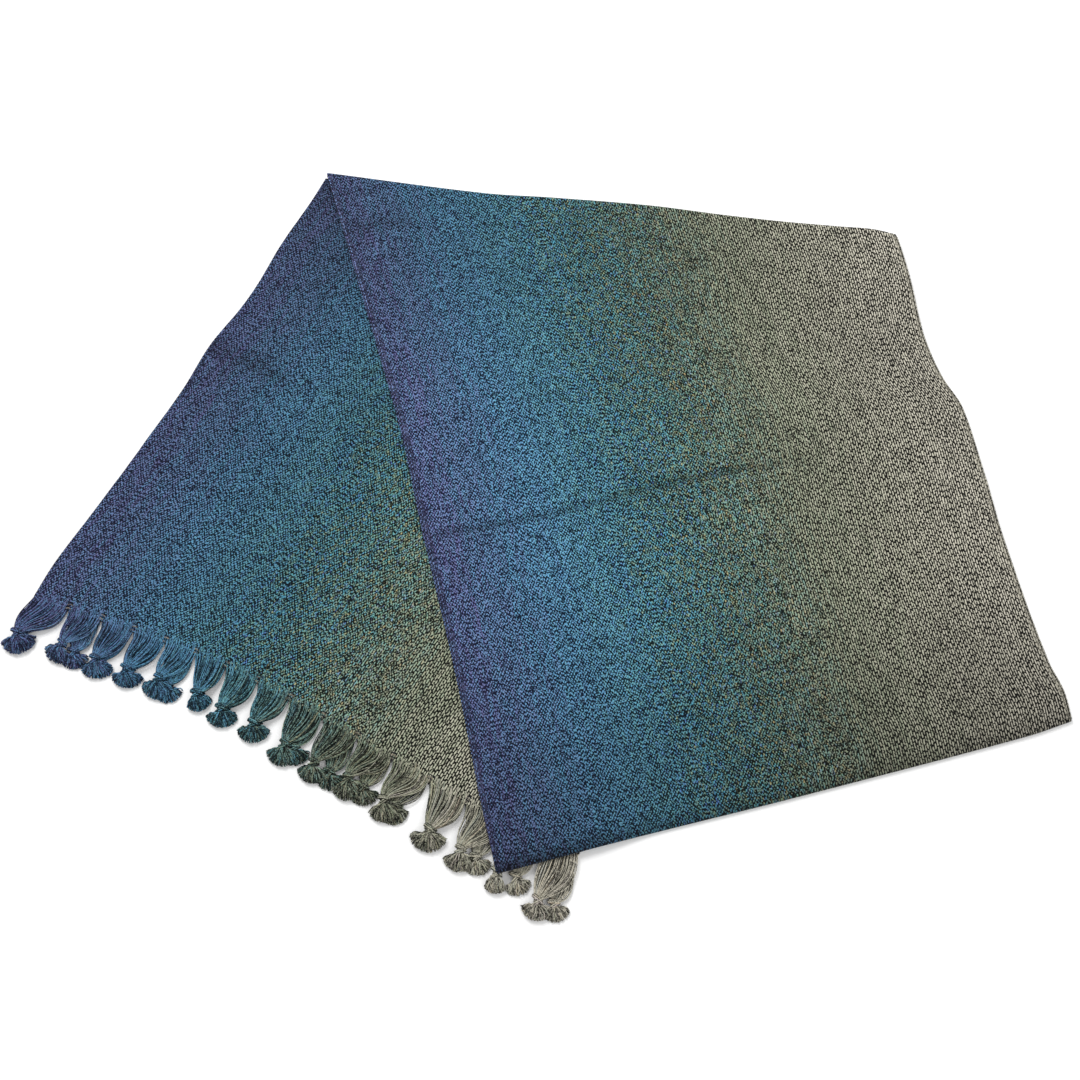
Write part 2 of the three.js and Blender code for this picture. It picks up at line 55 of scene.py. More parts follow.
# How far each edge wanders off its straight line: rows of (at, off)
SLANTED_FOLD = [
    (0, 0), (0.28, -3.5), (0.4, -0.9), (0.57, 1.4), (0.7, -0.2), (0.8, -0.6), (0.9, 0.4), (0.96, 1.2),
    (1, -1.5),
]
CROSS_FOLD = [(0, 0), (0.25, 0), (0.5, -1.8), (0.92, -2.4), (1, 0)]
LEFT_SELVEDGE = [(0, 0), (0.08, 1.6), (0.25, 7), (0.45, 8.8), (0.6, 11), (0.8, 6), (1, 0)]
RIGHT_SELVEDGE = [
    (0, 0), (0.05, 1.6), (0.11, -2), (0.36, -2.1), (0.49, 1.6), (0.62, 3.2), (0.69, -4.2),
    (0.76, -7.2), (0.81, -6.4), (0.9, -1.8), (1, -0.6),
]
LOWER_SELVEDGE = [
    (0, -1.5), (0.04, -0.5), (0.08, 0), (0.17, 0.3), (0.27, 3.2), (0.33, 3), (0.42, -0.4), (0.52, 2.3),
    (0.64, 1.9), (0.78, 0.6), (0.92, -2), (1, 0),
]
HEM = [(0, 0), (0.12, 8), (0.34, 17), (0.53, 13.5), (0.79, 3.6), (1, 0)]

TUCK, TUCK_START, INNER_PEEP, UNDER_INSET = 20.0, 1.0, 2.5, 0.8
STEP_WIDTH, STEP_START = 40.0, 4.0
POINT_LIFT, POINT_REACH = 3.5, 60.0
WAVE_HEIGHT, EDGE_WAVE_HEIGHT, LOWER_WAVE_HEIGHT, CALM_WIDTH = 1.1, 1.5, 1.1, 40.0

# Tassels: lean, reach, turn, tail, spread, rear_x, rear_y, as the solids have them
TASSELS = [
    (-8, 29.9, 11, 17, 25, 3, 0),
    (-0.5, 26, -23, 16, 19, 8.7, -5.8),
    (1.7, 28.3, 6, 15.5, 22, 3, -1),
    (0.8, 28.1, 0, 14.6, 22, 2, 0),
    (0.6, 25.7, -8, 17, 20, 6.2, -5),
    (5.9, 25.2, 11, 14.2, 15, 1, 2),
    (1.6, 28.1, 4, 15, 22, 2, 0),
    (1.3, 26.8, -2, 15.4, 23, 2, 1),
    (1.5, 28.7, -11, 17.5, 19, 7, -1.9),
    (-2.1, 29.7, -10, 16, 20, 11.5, -6.9),
    (-5.3, 25.7, 8, 18.4, 20, 10.9, -7.4),
    (-5.6, 26.3, 12, 17.6, 21, 6.8, -4.9),
    (2.9, 28.3, -8, 17.4, 25, 1, 0),
    (-1.5, 29.8, -6, 17, 19, 11.3, -5.4),
    (-1.2, 32.4, -8, 15.6, 12, 13.9, -2.6),
    (4.3, 36.1, -6, 15, 22, 12.1, -1.7),
]
TASSEL_CROWDING = 0.035

# Storage crease of the upper stretch, and softer troughs: points in plan
STORAGE_CREASE = [
    (-82, 2), (-54.5, 6), (25.4, 23), (70.9, 37), (115.9, 47.5), (151.3, 54.5), (200.6, 63), (269.9, 78.5),
]
TOP_TROUGH = [(-172.0, 270.0), (-135.0, 279.0), (-91.8, 290.0)]
LOWER_BAND = [(-272.8, 168.7), (-236.0, 150.0), (-196.3, 127.4)]


# The plan of the cloth

def unit(a, b):
    """The direction from a to b: their difference over its own length."""
    return (b - a) / np.linalg.norm(b - a, axis=-1, keepdims=True)


def ease(t):
    """Smooth step: 3 t squared less 2 t cubed, held at 0 and 1."""
    t = np.clip(t, 0, 1)
    return t * t * (3 - 2 * t)


def wander(rows, at):
    """A cubic through the rows, whose slope at each row is that of the chord between its neighbours."""
    places, offs = np.array(rows, float).T
    s = np.clip(at, 0, 1)
    last = len(places) - 1
    i = np.clip(np.searchsorted(places, s, side="left") - 1, 0, last - 1)
    before, after = np.maximum(i - 1, 0), np.minimum(i + 2, last)
    span = places[i + 1] - places[i]
    t = (s - places[i]) / span
    start = (offs[i + 1] - offs[before]) / (places[i + 1] - places[before]) * span
    end = (offs[after] - offs[i]) / (places[after] - places[i]) * span
    return (
        (2 * t**3 - 3 * t**2 + 1) * offs[i] + (t**3 - 2 * t**2 + t) * start
        + (3 * t**2 - 2 * t**3) * offs[i + 1] + (t**3 - t**2) * end
    )


def edge(a, b, rows, side):
    """The straight line from a to b, moved aside by its table."""
    side = np.asarray(side, float)

    def place(t):
        t = np.asarray(t, float)[..., None]
        return a + (b - a) * t + side * wander(rows, t[..., 0])[..., None]

    return place


def patch(left, right, start, end):
    """A surface from four edges: the blend of its sides, plus that of its ends, less that of its corners."""

    def place(u, v):
        u, v = np.broadcast_arrays(np.asarray(u, float), np.asarray(v, float))
        p, q = u[..., None], v[..., None]
        sides = left(v) * (1 - p) + right(v) * p
        ends = start(u) * (1 - q) + end(u) * q
        first = start(0.0) * (1 - p) + start(1.0) * p
        second = end(0.0) * (1 - p) + end(1.0) * p
        return sides + ends - first * (1 - q) - second * q

    return place


ALONG_UPPER = unit(POINT, APEX)
ACROSS_UPPER = np.array([ALONG_UPPER[1], -ALONG_UPPER[0]])
ALONG_LOWER = unit(APEX, HEM_LEFT)
ACROSS_LOWER = np.array([-ALONG_LOWER[1], ALONG_LOWER[0]])
FOLD_SLANT = 1 / abs(float(unit(APEX, SHOULDER) @ ACROSS_UPPER))
TOP_IN, BOTTOM_IN = -TOP_ROLL * FOLD_SLANT * ALONG_UPPER, BOTTOM_ROLL * ALONG_UPPER

slanted_fold = edge(APEX + TOP_IN, SHOULDER + TOP_IN, SLANTED_FOLD, (0, 1))
cross_fold = edge(POINT + BOTTOM_IN, CORNER + BOTTOM_IN, CROSS_FOLD, (0, 1))
left_selvedge = edge(POINT + BOTTOM_IN, APEX + TOP_IN, LEFT_SELVEDGE, ACROSS_UPPER)
right_selvedge = edge(CORNER + BOTTOM_IN, SHOULDER + TOP_IN, RIGHT_SELVEDGE, ACROSS_UPPER)
upper_plan = patch(left_selvedge, right_selvedge, cross_fold, slanted_fold)
lower_selvedge = edge(APEX + TOP_IN, HEM_LEFT, LOWER_SELVEDGE, ACROSS_LOWER)
hem = edge(HEM_LEFT, HEM_RIGHT, HEM, -ALONG_LOWER)


def near(plan, line):
    """Distance from plan points to a broken line, and how far along it the nearest point is, 0 to 1."""
    line = np.array(line, float)
    best, along = np.full(plan.shape[:-1], 1e9), np.zeros(plan.shape[:-1])
    for k, (a, b) in enumerate(zip(line[:-1], line[1:])):
        t = np.clip(((plan - a) @ (b - a)) / ((b - a) @ (b - a)), 0, 1)
        d = np.linalg.norm(plan - a - t[..., None] * (b - a), axis=-1)
        along = np.where(d < best, (k + t) / (len(line) - 1), along)
        best = np.minimum(best, d)
    return best, along


def crease(plan, line, depth, width, shoulder):
    """A soft trough along a line, fading out at its ends: less depth times a bell of the distance over
    the width, plus a low shoulder, which is a bell centred 2.2 widths away on both sides."""
    d, along = near(plan, line)
    fade = ease(along / 0.1 + 0.3) * ease((1 - along) / 0.4)
    trough = -depth * np.exp(-((d / width) ** 2))
    return fade * (trough + shoulder * np.exp(-(((d - 2.2 * width) / (1.3 * width)) ** 2)))


def shaded(plan, line, depth, width):
    """How much painted shade the cloth gets in a crease: depth times a bell of the distance over the width.
    """
    d, along = near(plan, line)
    return depth * ease(along / 0.1 + 0.6) * ease((1 - along) / 0.25) * np.exp(-((d / width) ** 2))


def cockle(plan, seed):
    """The slight unevenness of handwoven cloth: five waves of different lengths and directions, summed."""
    rng = np.random.default_rng(seed)
    total = 0.0
    for length, height in ((95, 0.22), (61, 0.16), (37, 0.12), (23, 0.07), (15, 0.05)):
        angle, phase = rng.uniform(0, math.pi), rng.uniform(0, 2 * math.pi)
        wave = plan @ np.array([math.cos(angle), math.sin(angle)])
        total = total + height * np.sin(2 * math.pi * wave / length + phase)
    return total


def upper_base(plan):
    """Four layers where the under stretch lies below, two elsewhere, with a soft step between."""
    hidden = unit(SHOULDER, HEM_RIGHT)
    off = plan - SHOULDER
    beyond = off[..., 1] * hidden[0] - off[..., 0] * hidden[1] - STEP_START
    return TWO_LAYERS + (FOUR_LAYERS - TWO_LAYERS) * (1 - ease(beyond / STEP_WIDTH))


def upper_height(u, v):
    """Outer face of the upper stretch: its layers, plus a lift that fades away from the point,
    a sine of both directions, and a ripple that grows across as u to the fifth."""
    plan = upper_plan(u, v)
    lift = POINT_LIFT * (1 - ease(np.linalg.norm(plan - POINT, axis=-1) / POINT_REACH))
    calm = ease((1 - v) / 0.25) * ease((v + 0.02) / 0.2)
    swell = WAVE_HEIGHT * (0.5 + 0.5 * np.sin(2 * math.pi * (1.3 * u + 0.8 * v) + 0.6))
    ripple = EDGE_WAVE_HEIGHT * u**5 * (0.5 + 0.5 * np.cos(2 * math.pi * 2.6 * v))
    return upper_base(plan) + lift + calm * (swell + ripple)


def upper_relief(u, v):
    """What is added to that height: creases plus cockles, none at the folds, never below the layers."""
    plan = upper_plan(u, v)
    calm = ease((1 - v) / 0.06) * ease(v / 0.06)
    marks = crease(plan, STORAGE_CREASE, 1.1, 4.0, 0.55) + crease(plan, TOP_TROUGH, 0.7, 6.0, 0.2)
    return np.maximum(calm * (marks + cockle(plan, 3)), upper_base(plan) - upper_height(u, v))


# Meshes from whole arrays

def mesh_piece(name, points, faces, uvs, material, tone=None):
    """One mesh object at the origin, from arrays of points in millimetres, faces and their corners' UVs."""
    mesh = bpy.data.meshes.new(name)
    points = (np.asarray(points, float).reshape(-1, 3) + PLACE) / 1000
    corners = np.concatenate([f.ravel() for f in faces])
    starts = np.cumsum(np.concatenate([[0]] + [np.full(len(f), f.shape[1]) for f in faces]))[:-1]
    mesh.vertices.add(len(points))
    mesh.vertices.foreach_set("co", points.astype(np.float32).ravel())
    mesh.loops.add(len(corners))
    mesh.loops.foreach_set("vertex_index", corners.astype(np.int32))
    mesh.polygons.add(len(starts))
    mesh.polygons.foreach_set("loop_start", starts.astype(np.int32))
    mesh.polygons.foreach_set("use_smooth", np.ones(len(starts), bool))
    layer = mesh.uv_layers.new(name="yarns")
    corner_uvs = np.concatenate([u.reshape(-1, 2) for u in uvs])
    layer.data.foreach_set("uv", corner_uvs.astype(np.float32).ravel())
    if tone is not None:
        values = mesh.attributes.new("tone", "FLOAT", "POINT")
        values.data.foreach_set("value", np.asarray(tone, np.float32).ravel())
    mesh.update(calc_edges=True)
    mesh.validate()
    mesh.materials.append(material)
    thing = bpy.data.objects.new(name, mesh)
    bpy.context.scene.collection.objects.link(thing)
    return thing


def edge_stations(count, length):
    """Even stations from 0 to 1, with closer ones at both ends for the rounded rim."""
    rim = np.array([0.0, 0.08, 0.25, 0.5, 0.9, 1.6]) / length
    even = np.linspace(0, 1, count)
    even = even[(even > 2.2 / length) & (even < 1 - 2.2 / length)]
    return np.concatenate([rim, even, 1 - rim[::-1]])


def shell(name, middle, round_u, round_v, uv, material, tone):
    """A closed thin cloth: the middle surface moved half its thickness both ways along its normal.
    The thickness rounds off to the rim as a half circle does, over 0.9 mm along the sides asked for."""
    count_u, count_v = middle.shape[:2]
    normal = np.cross(np.gradient(middle, axis=0), np.gradient(middle, axis=1))
    normal /= np.linalg.norm(normal, axis=-1, keepdims=True)
    half = CLOTH / 2 * np.minimum(round_u, round_v)[..., None]
    above, below = middle + half * normal, middle - half * normal
    points = np.concatenate([above.reshape(-1, 3), below.reshape(-1, 3)])
    at = np.arange(count_u * count_v).reshape(count_u, count_v)
    low = at + count_u * count_v
    top = np.stack([at[:-1, :-1], at[1:, :-1], at[1:, 1:], at[:-1, 1:]], -1).reshape(-1, 4)
    under = np.stack([low[:-1, :-1], low[:-1, 1:], low[1:, 1:], low[1:, :-1]], -1).reshape(-1, 4)

    def rim(a, b):
        return np.stack([a[:-1], a[1:], b[1:], b[:-1]], -1)

    rims = [rim(low[:, 0], at[:, 0]), rim(at[:, -1], low[:, -1]), rim(at[0], low[0]), rim(low[-1], at[-1])]
    faces = [np.concatenate([top, under, *rims])]
    both = np.concatenate([uv.reshape(-1, 2)] * 2)
    tones = np.concatenate([np.broadcast_to(tone, at.shape).ravel()] * 2)
    return mesh_piece(name, points, faces, [both[faces[0]]], material, tones)


def rounding(stations, length):
    """How much of the thickness is left near each rim: the square root of 1 less (1 less d/0.9) squared."""
    d = np.minimum(stations, 1 - stations) * length
    return np.sqrt(np.clip(1 - (1 - np.clip(d / 0.9, 0, 1)) ** 2, 0.03, 1))


def run_along(points):
    """Millimetres from each row's first point to each of its points: the lengths of its steps, added up."""
    steps = np.linalg.norm(np.diff(points, axis=1), axis=-1)
    return np.concatenate([np.zeros((len(points), 1)), np.cumsum(steps, 1)], 1)


def weave_place(share, along):
    """Yarn coordinates of cloth: the share of the width times the ends, and millimetres over the pitch."""
    share, along = np.broadcast_arrays(share, along)
    return np.stack([share * ENDS, along / PICK_PITCH], -1)


def tubes(paths, radius, sides=5):
    """Yarns as closed tubes: at each point of a path a ring of corners square to the path,
    turned from the path's direction crossed with up. Gives points, faces and corner UVs
    (the yarn's number plus the turn round it, millimetres along it)."""
    paths = np.asarray(paths, float)
    count, length = paths.shape[:2]
    radius = np.broadcast_to(radius, (count, length))
    ahead = np.gradient(paths, axis=1)
    ahead /= np.linalg.norm(ahead, axis=-1, keepdims=True) + 1e-9
    side = np.cross(ahead, [0.03, 0.02, 1.0])
    side /= np.linalg.norm(side, axis=-1, keepdims=True) + 1e-9
    top = np.cross(side, ahead)
    turn = 2 * math.pi * np.arange(sides) / sides
    ring = np.cos(turn)[:, None] * side[:, :, None] + np.sin(turn)[:, None] * top[:, :, None]
    points = paths[:, :, None] + radius[..., None, None] * ring
    at = np.arange(count * length * sides).reshape(count, length, sides)
    after = np.roll(at, -1, axis=2)
    quads = np.stack([at[:, :-1], at[:, 1:], after[:, 1:], after[:, :-1]], -1).reshape(-1, 4)
    run = np.broadcast_to(run_along(paths)[..., None], at.shape)
    share = np.broadcast_to(np.arange(count)[:, None, None] + np.arange(sides) / sides * 0.999, at.shape)
    first = np.stack([share, run], -1)
    second = first + [0.999 / sides, 0]
    uv = np.stack([first[:, :-1], first[:, 1:], second[:, 1:], second[:, :-1]], -2).reshape(-1, 4, 2)
    caps = np.concatenate([at[:, 0], at[:, -1, ::-1]])
    cap_uv = np.concatenate([first[:, 0], first[:, -1, ::-1]])
    return points.reshape(-1, 3), quads, uv, caps, cap_uv


def yarn_piece(name, groups, material):
    """Joins groups of yarns (paths, radius, tone, sides) into one mesh; tone is a number for each yarn."""
    points, quads, uvs, caps, cap_uvs, tones, base = [], [], [], {}, {}, [], 0
    for paths, radius, tone, sides in groups:
        p, q, uv, cap, cap_uv = tubes(paths, radius, sides)
        points.append(p)
        quads.append(q + base)
        uvs.append(uv)
        caps.setdefault(sides, []).append(cap + base)
        cap_uvs.setdefault(sides, []).append(cap_uv)
        tones.append(np.repeat(np.broadcast_to(tone, len(paths)), len(p) // len(paths)))
        base += len(p)
    faces = [np.concatenate(quads)] + [np.concatenate(caps[k]) for k in caps]
    corner_uvs = [np.concatenate(uvs)] + [np.concatenate(cap_uvs[k]) for k in caps]
    return mesh_piece(name, np.concatenate(points), faces, corner_uvs, material, np.concatenate(tones))


def curve(a, b, c, d, count):
    """Cubic curve from a to d, leaving towards b and arriving from c, for many yarns at once."""
    t = np.linspace(0, 1, count)[None, :, None]
    a, b, c, d = (np.broadcast_to(x, np.shape(a))[:, None] for x in (a, b, c, d))
    return (1 - t) ** 3 * a + 3 * t * (1 - t) ** 2 * b + 3 * t * t * (1 - t) * c + t**3 * d


# Materials

def linear(rgb):
    """An sRGB colour of 0 to 255 as linear numbers."""
    c = np.array(rgb, float) / 255
    c = np.where(c <= 0.04045, c / 12.92, ((c + 0.055) / 1.055) ** 2.4)
    return (*[float(x) for x in c], 1.0)


class Net:
    """Adds nodes to one tree; a number or colour sets a socket, and a socket is linked to it."""

    def __init__(self, tree):
        self.tree = tree

    def give(self, socket, value):
        if isinstance(value, bpy.types.NodeSocket):
            self.tree.links.new(value, socket)
        elif value is not None:
            socket.default_value = value

    def add(self, kind, settings=None, **inputs):
        node = self.tree.nodes.new(kind)
        for key, value in (settings or {}).items():
            setattr(node, key, value)
        for key, value in inputs.items():
            self.give(node.inputs[key.replace("_", " ")], value)
        return node

    def math(self, operation, *values, clamp=False):
        node = self.add("ShaderNodeMath", {"operation": operation, "use_clamp": clamp})
        for socket, value in zip(node.inputs, values):
            self.give(socket, value)
        return node.outputs[0]

    def blend(self, share, a, b, kind="MIX"):
        node = self.add("ShaderNodeMix", {"data_type": "RGBA", "blend_type": kind})
        for socket, value in zip((node.inputs[0], node.inputs[6], node.inputs[7]), (share, a, b)):
            self.give(socket, value)
        return node.outputs[2]

    def grade(self, share, low, high):
        """0 below low, 1 above high, smooth between."""
        node = self.add("ShaderNodeMapRange", {"interpolation_type": "SMOOTHSTEP"})
        for socket, value in zip(node.inputs, (share, low, high, 0.0, 1.0)):
            self.give(socket, value)
        return node.outputs[0]

    def vector(self, x=0.0, y=0.0, z=0.0):
        node = self.add("ShaderNodeCombineXYZ")
        for socket, value in zip(node.inputs, (x, y, z)):
            self.give(socket, value)
        return node.outputs[0]

    def noise(self, x, y, scale, detail=2.0):
        node = self.add(
            "ShaderNodeTexNoise", {"noise_dimensions": "2D"},
            Vector=self.vector(x, y), Scale=scale, Detail=detail,
        )
        return node.outputs[0]

    def chance(self, x, y):
        """A fixed number from 0 to 1 for each whole x and y."""
        node = self.add("ShaderNodeTexWhiteNoise", {"noise_dimensions": "2D"}, Vector=self.vector(x, y))
        return node.outputs[0]

    def ramp(self, share, stops):
        node = self.add("ShaderNodeValToRGB", Fac=share)
        elements = node.color_ramp.elements
        while len(elements) < len(stops):
            elements.new(0.5)
        for element, (place, colour) in zip(elements, stops):
            element.position = place
            element.color = linear(colour)
        return node.outputs[0]


def group(name, inputs, outputs):
    """An empty node group with named inputs and outputs, for effects that materials share."""
    tree = bpy.data.node_groups.new(name, "ShaderNodeTree")
    for label, kind in inputs:
        tree.interface.new_socket(label, in_out="INPUT", socket_type=kind)
    for label, kind in outputs:
        tree.interface.new_socket(label, in_out="OUTPUT", socket_type=kind)
    net = Net(tree)
    return tree, net, net.add("NodeGroupInput").outputs, net.add("NodeGroupOutput").inputs


def use(net, tree, **inputs):
    node = net.add("ShaderNodeGroup", {"node_tree": tree})
    for key, value in inputs.items():
        net.give(node.inputs[key], value)
    return node.outputs


# The warp is dyed from violet through blue and teal to olive and stone
LIGHT_YARNS = [
    (0.0, (110, 116, 164)), (0.03, (113, 136, 180)), (0.2, (102, 160, 196)), (0.35, (114, 176, 190)),
    (0.5, (140, 174, 162)), (0.65, (156, 163, 139)), (0.8, (180, 179, 160)), (1.0, (198, 193, 178)),
]
DARK_YARNS = [
    (0.0, (22, 20, 48)), (0.04, (13, 18, 42)), (0.2, (2, 22, 40)), (0.35, (4, 26, 33)),
    (0.5, (10, 21, 19)), (0.65, (14, 18, 12)), (0.8, (13, 13, 9)), (1.0, (14, 13, 10)),
]


def dyed_warp():
    """Light and dark colours of the warp at a share of the width."""
    tree, net, given, out = group(
        "dyed warp",
        [("Share", "NodeSocketFloat")],
        [("Light", "NodeSocketColor"), ("Dark", "NodeSocketColor")],
    )
    net.give(out["Light"], net.ramp(given["Share"], LIGHT_YARNS))
    net.give(out["Dark"], net.ramp(given["Share"], DARK_YARNS))
    return tree


def crossing():
    """Which yarn lies on top: staggered single crossings on the blue side, long stone floats on the other.
    Ends and Picks count yarns across and along. Gives the share of warp on top, and the yarns' height."""
    tree, net, given, out = group(
        "yarn crossing",
        [("Ends", "NodeSocketFloat"), ("Picks", "NodeSocketFloat"), ("Float", "NodeSocketFloat")],
        [("Warp", "NodeSocketFloat"), ("Height", "NodeSocketFloat")],
    )
    ends, picks = given["Ends"], given["Picks"]
    end, across, along = net.math("FLOOR", ends), net.math("FRACT", ends), net.math("FRACT", picks)

    def bell(x, sharp):
        """1 at the middle of a yarn, 0 at its sides: 1 less (2x less 1) squared, to a power."""
        d = net.math("MULTIPLY_ADD", x, 2.0, -1.0)
        return net.math("POWER", net.math("SUBTRACT", 1.0, net.math("MULTIPLY", d, d), clamp=True), sharp)

    fine = net.math("MULTIPLY", picks, 1.4)
    row, in_row = net.math("FLOOR", fine), net.math("FRACT", fine)
    odd = net.math("MODULO", net.math("ADD", end, row), 2.0)
    lit = net.math("MULTIPLY_ADD", net.chance(end, row), 0.36, net.math("MULTIPLY", odd, 0.64))
    plain_top = net.math("MULTIPLY", lit, net.math("MULTIPLY", bell(across, 0.5), bell(in_row, 0.5)))
    columns = net.math("MULTIPLY", ends, 0.62)
    column, in_column = net.math("FLOOR", columns), net.math("FRACT", columns)
    late = net.math("MULTIPLY", net.chance(column, 5.0), 0.7)
    stagger = net.math("MULTIPLY_ADD", net.math("MODULO", column, 2.0), 1.05, late)
    turn = net.math("MULTIPLY", net.math("ADD", picks, stagger), 0.48)
    in_float, dash = net.math("FRACT", turn), net.math("FLOOR", turn)
    reach = net.math("MULTIPLY_ADD", net.chance(column, dash), 0.16, 0.29)
    off = net.math("ABSOLUTE", net.math("SUBTRACT", in_float, 0.5))
    body = net.grade(off, net.math("ADD", reach, 0.1), net.math("SUBTRACT", reach, 0.1))
    bright = net.math("MULTIPLY_ADD", net.chance(dash, column), 0.45, 0.65)
    long_top = net.math("MULTIPLY", net.math("MULTIPLY", body, bright), bell(in_column, 2.6))
    long_top = net.math("MAXIMUM", long_top, net.math("MULTIPLY", plain_top, 0.45))
    warp = net.math("MULTIPLY_ADD", given["Float"], net.math("SUBTRACT", long_top, plain_top), plain_top)
    weft = net.math("MULTIPLY", bell(along, 0.6), net.math("SUBTRACT", 1.0, warp))
    net.give(out["Warp"], warp)
    net.give(out["Height"], net.math("ADD", warp, net.math("MULTIPLY", weft, 0.3)))
    return tree


WARP_GROUP, CROSSING_GROUP = dyed_warp(), crossing()
SLUB_TINTS = [
    (0.0, (150, 90, 180)), (0.1, (130, 118, 144)), (0.2, (128, 128, 128)), (0.72, (128, 128, 128)),
    (0.8, (80, 150, 190)), (0.88, (128, 150, 110)), (1.0, (210, 150, 90)),
]


def yarn_tree(name):
    """A new material with an empty tree, and the two numbers of the piece's own yarn coordinates."""
    material = bpy.data.materials.new(name)
    material.use_nodes = True
    net = Net(material.node_tree)
    net.tree.nodes.clear()
    yarns = net.add("ShaderNodeUVMap", {"uv_map": "yarns"})
    place = net.add("ShaderNodeSeparateXYZ", Vector=yarns.outputs[0])
    return material, net, place.outputs[0], place.outputs[1]


def matt(net, colour, roughness, normal=None, sheen=0.0, sheen_roughness=0.5):
    """The surface of all the yarns: rough, hardly shining, with a faint sheen."""
    shader = net.add("ShaderNodeBsdfPrincipled", Base_Color=colour, Roughness=roughness, Normal=normal)
    shader.inputs["Specular IOR Level"].default_value = 0.12
    shader.inputs["Sheen Weight"].default_value = sheen
    shader.inputs["Sheen Roughness"].default_value = sheen_roughness
    net.give(net.add("ShaderNodeOutputMaterial").inputs["Surface"], shader.outputs[0])


def cloth_material(name):
    """Woven cloth: each end takes its colour from a slightly different place in the graded warp,
    the weft between is dark, and single slubs are tinted violet, blue or tan, most in the middle,
    where dots of teal and olive lie side by side. The colour is multiplied by faint random clouds plus
    the tone attribute, which holds painted shade at the folds, in the creases and under the other layers."""
    material, net, x, y = yarn_tree(name)
    share = net.math("DIVIDE", x, float(ENDS))
    slow = net.math("SUBTRACT", net.noise(x, y, 0.1), 0.5)
    quick = net.math("SUBTRACT", net.noise(net.math("MULTIPLY", x, 2.2), y, 0.28, 1.0), 0.5)
    ends = net.math("ADD", x, net.math("MULTIPLY_ADD", slow, 0.9, net.math("MULTIPLY", quick, 0.28)))
    end = net.math("FLOOR", ends)
    shifted = net.math("SUBTRACT", net.chance(end, 11.0), 0.5)
    uneven = net.math("MULTIPLY_ADD", shifted, 0.45, net.math("MULTIPLY", quick, 0.4))
    picks = net.math("ADD", y, net.math("MULTIPLY_ADD", slow, 1.4, uneven))
    length = net.math("MULTIPLY_ADD", net.chance(end, 7.0), 9.0, net.math("DIVIDE", picks, 4.0))
    slub = net.chance(end, net.math("FLOOR", length))
    stray = net.math("SUBTRACT", net.chance(end, 3.0), 0.5)
    mottled = net.math("MULTIPLY", net.grade(share, 0.2, 0.42), net.grade(share, 0.72, 0.5))
    hue = net.chance(end, net.math("FLOOR", picks))
    dot = net.math("SUBTRACT", net.math("FRACT", net.math("MULTIPLY", hue, 7.0)), 0.5)
    dot = net.math("MULTIPLY", dot, mottled)
    graded = net.math("MULTIPLY_ADD", dot, 0.24, share)
    graded = net.math("MULTIPLY_ADD", net.math("SUBTRACT", slub, 0.5), 0.1, graded)
    graded = net.math("ABSOLUTE", net.math("MULTIPLY_ADD", stray, 0.07, graded))
    patchy = net.math("SUBTRACT", net.noise(x, y, 0.05), 0.5)
    floats = net.grade(net.math("MULTIPLY_ADD", patchy, 0.35, share), 0.42, 0.72)
    top = use(net, CROSSING_GROUP, Ends=ends, Picks=picks, Float=floats)
    warp = use(net, WARP_GROUP, Share=graded)
    fibre = net.chance(
        net.math("FLOOR", net.math("MULTIPLY", x, 1.6)), net.math("FLOOR", net.math("MULTIPLY", y, 2.6))
    )
    rough = net.math("MULTIPLY_ADD", floats, -0.4, 0.9)
    frayed = net.math("MULTIPLY_ADD", net.math("SUBTRACT", fibre, 0.5), rough, top["Warp"])
    worn = net.grade(frayed, 0.25, 0.71)
    colour = net.blend(worn, warp["Dark"], warp["Light"])
    tinted = net.math("MULTIPLY_ADD", mottled, 0.6, net.math("MULTIPLY_ADD", floats, -0.18, 0.2))
    colour = net.blend(tinted, colour, net.ramp(hue, SLUB_TINTS), "SOFT_LIGHT")
    # The tone attribute is painted shade (and, on the lower stretch, a lighter grey side); random clouds are
    # added, and the sum multiplies the colour.
    deep = net.add("ShaderNodeAttribute", {"attribute_name": "tone"}).outputs["Fac"]
    clouds_and_painted_shade = net.math("MULTIPLY_ADD", net.math("SUBTRACT", net.noise(x, y, 0.018, 3.0), 0.5), 0.2, deep)
    grey = net.add("ShaderNodeCombineColor", Red=clouds_and_painted_shade, Green=clouds_and_painted_shade, Blue=clouds_and_painted_shade).outputs[0]
    colour = net.blend(1.0, colour, grey, "MULTIPLY")
    bump = net.add("ShaderNodeBump", Strength=0.35, Distance=0.0006, Height=top["Height"])
    matt(net, colour, 0.92, bump.outputs[0], 0.05, 0.6)
    return material


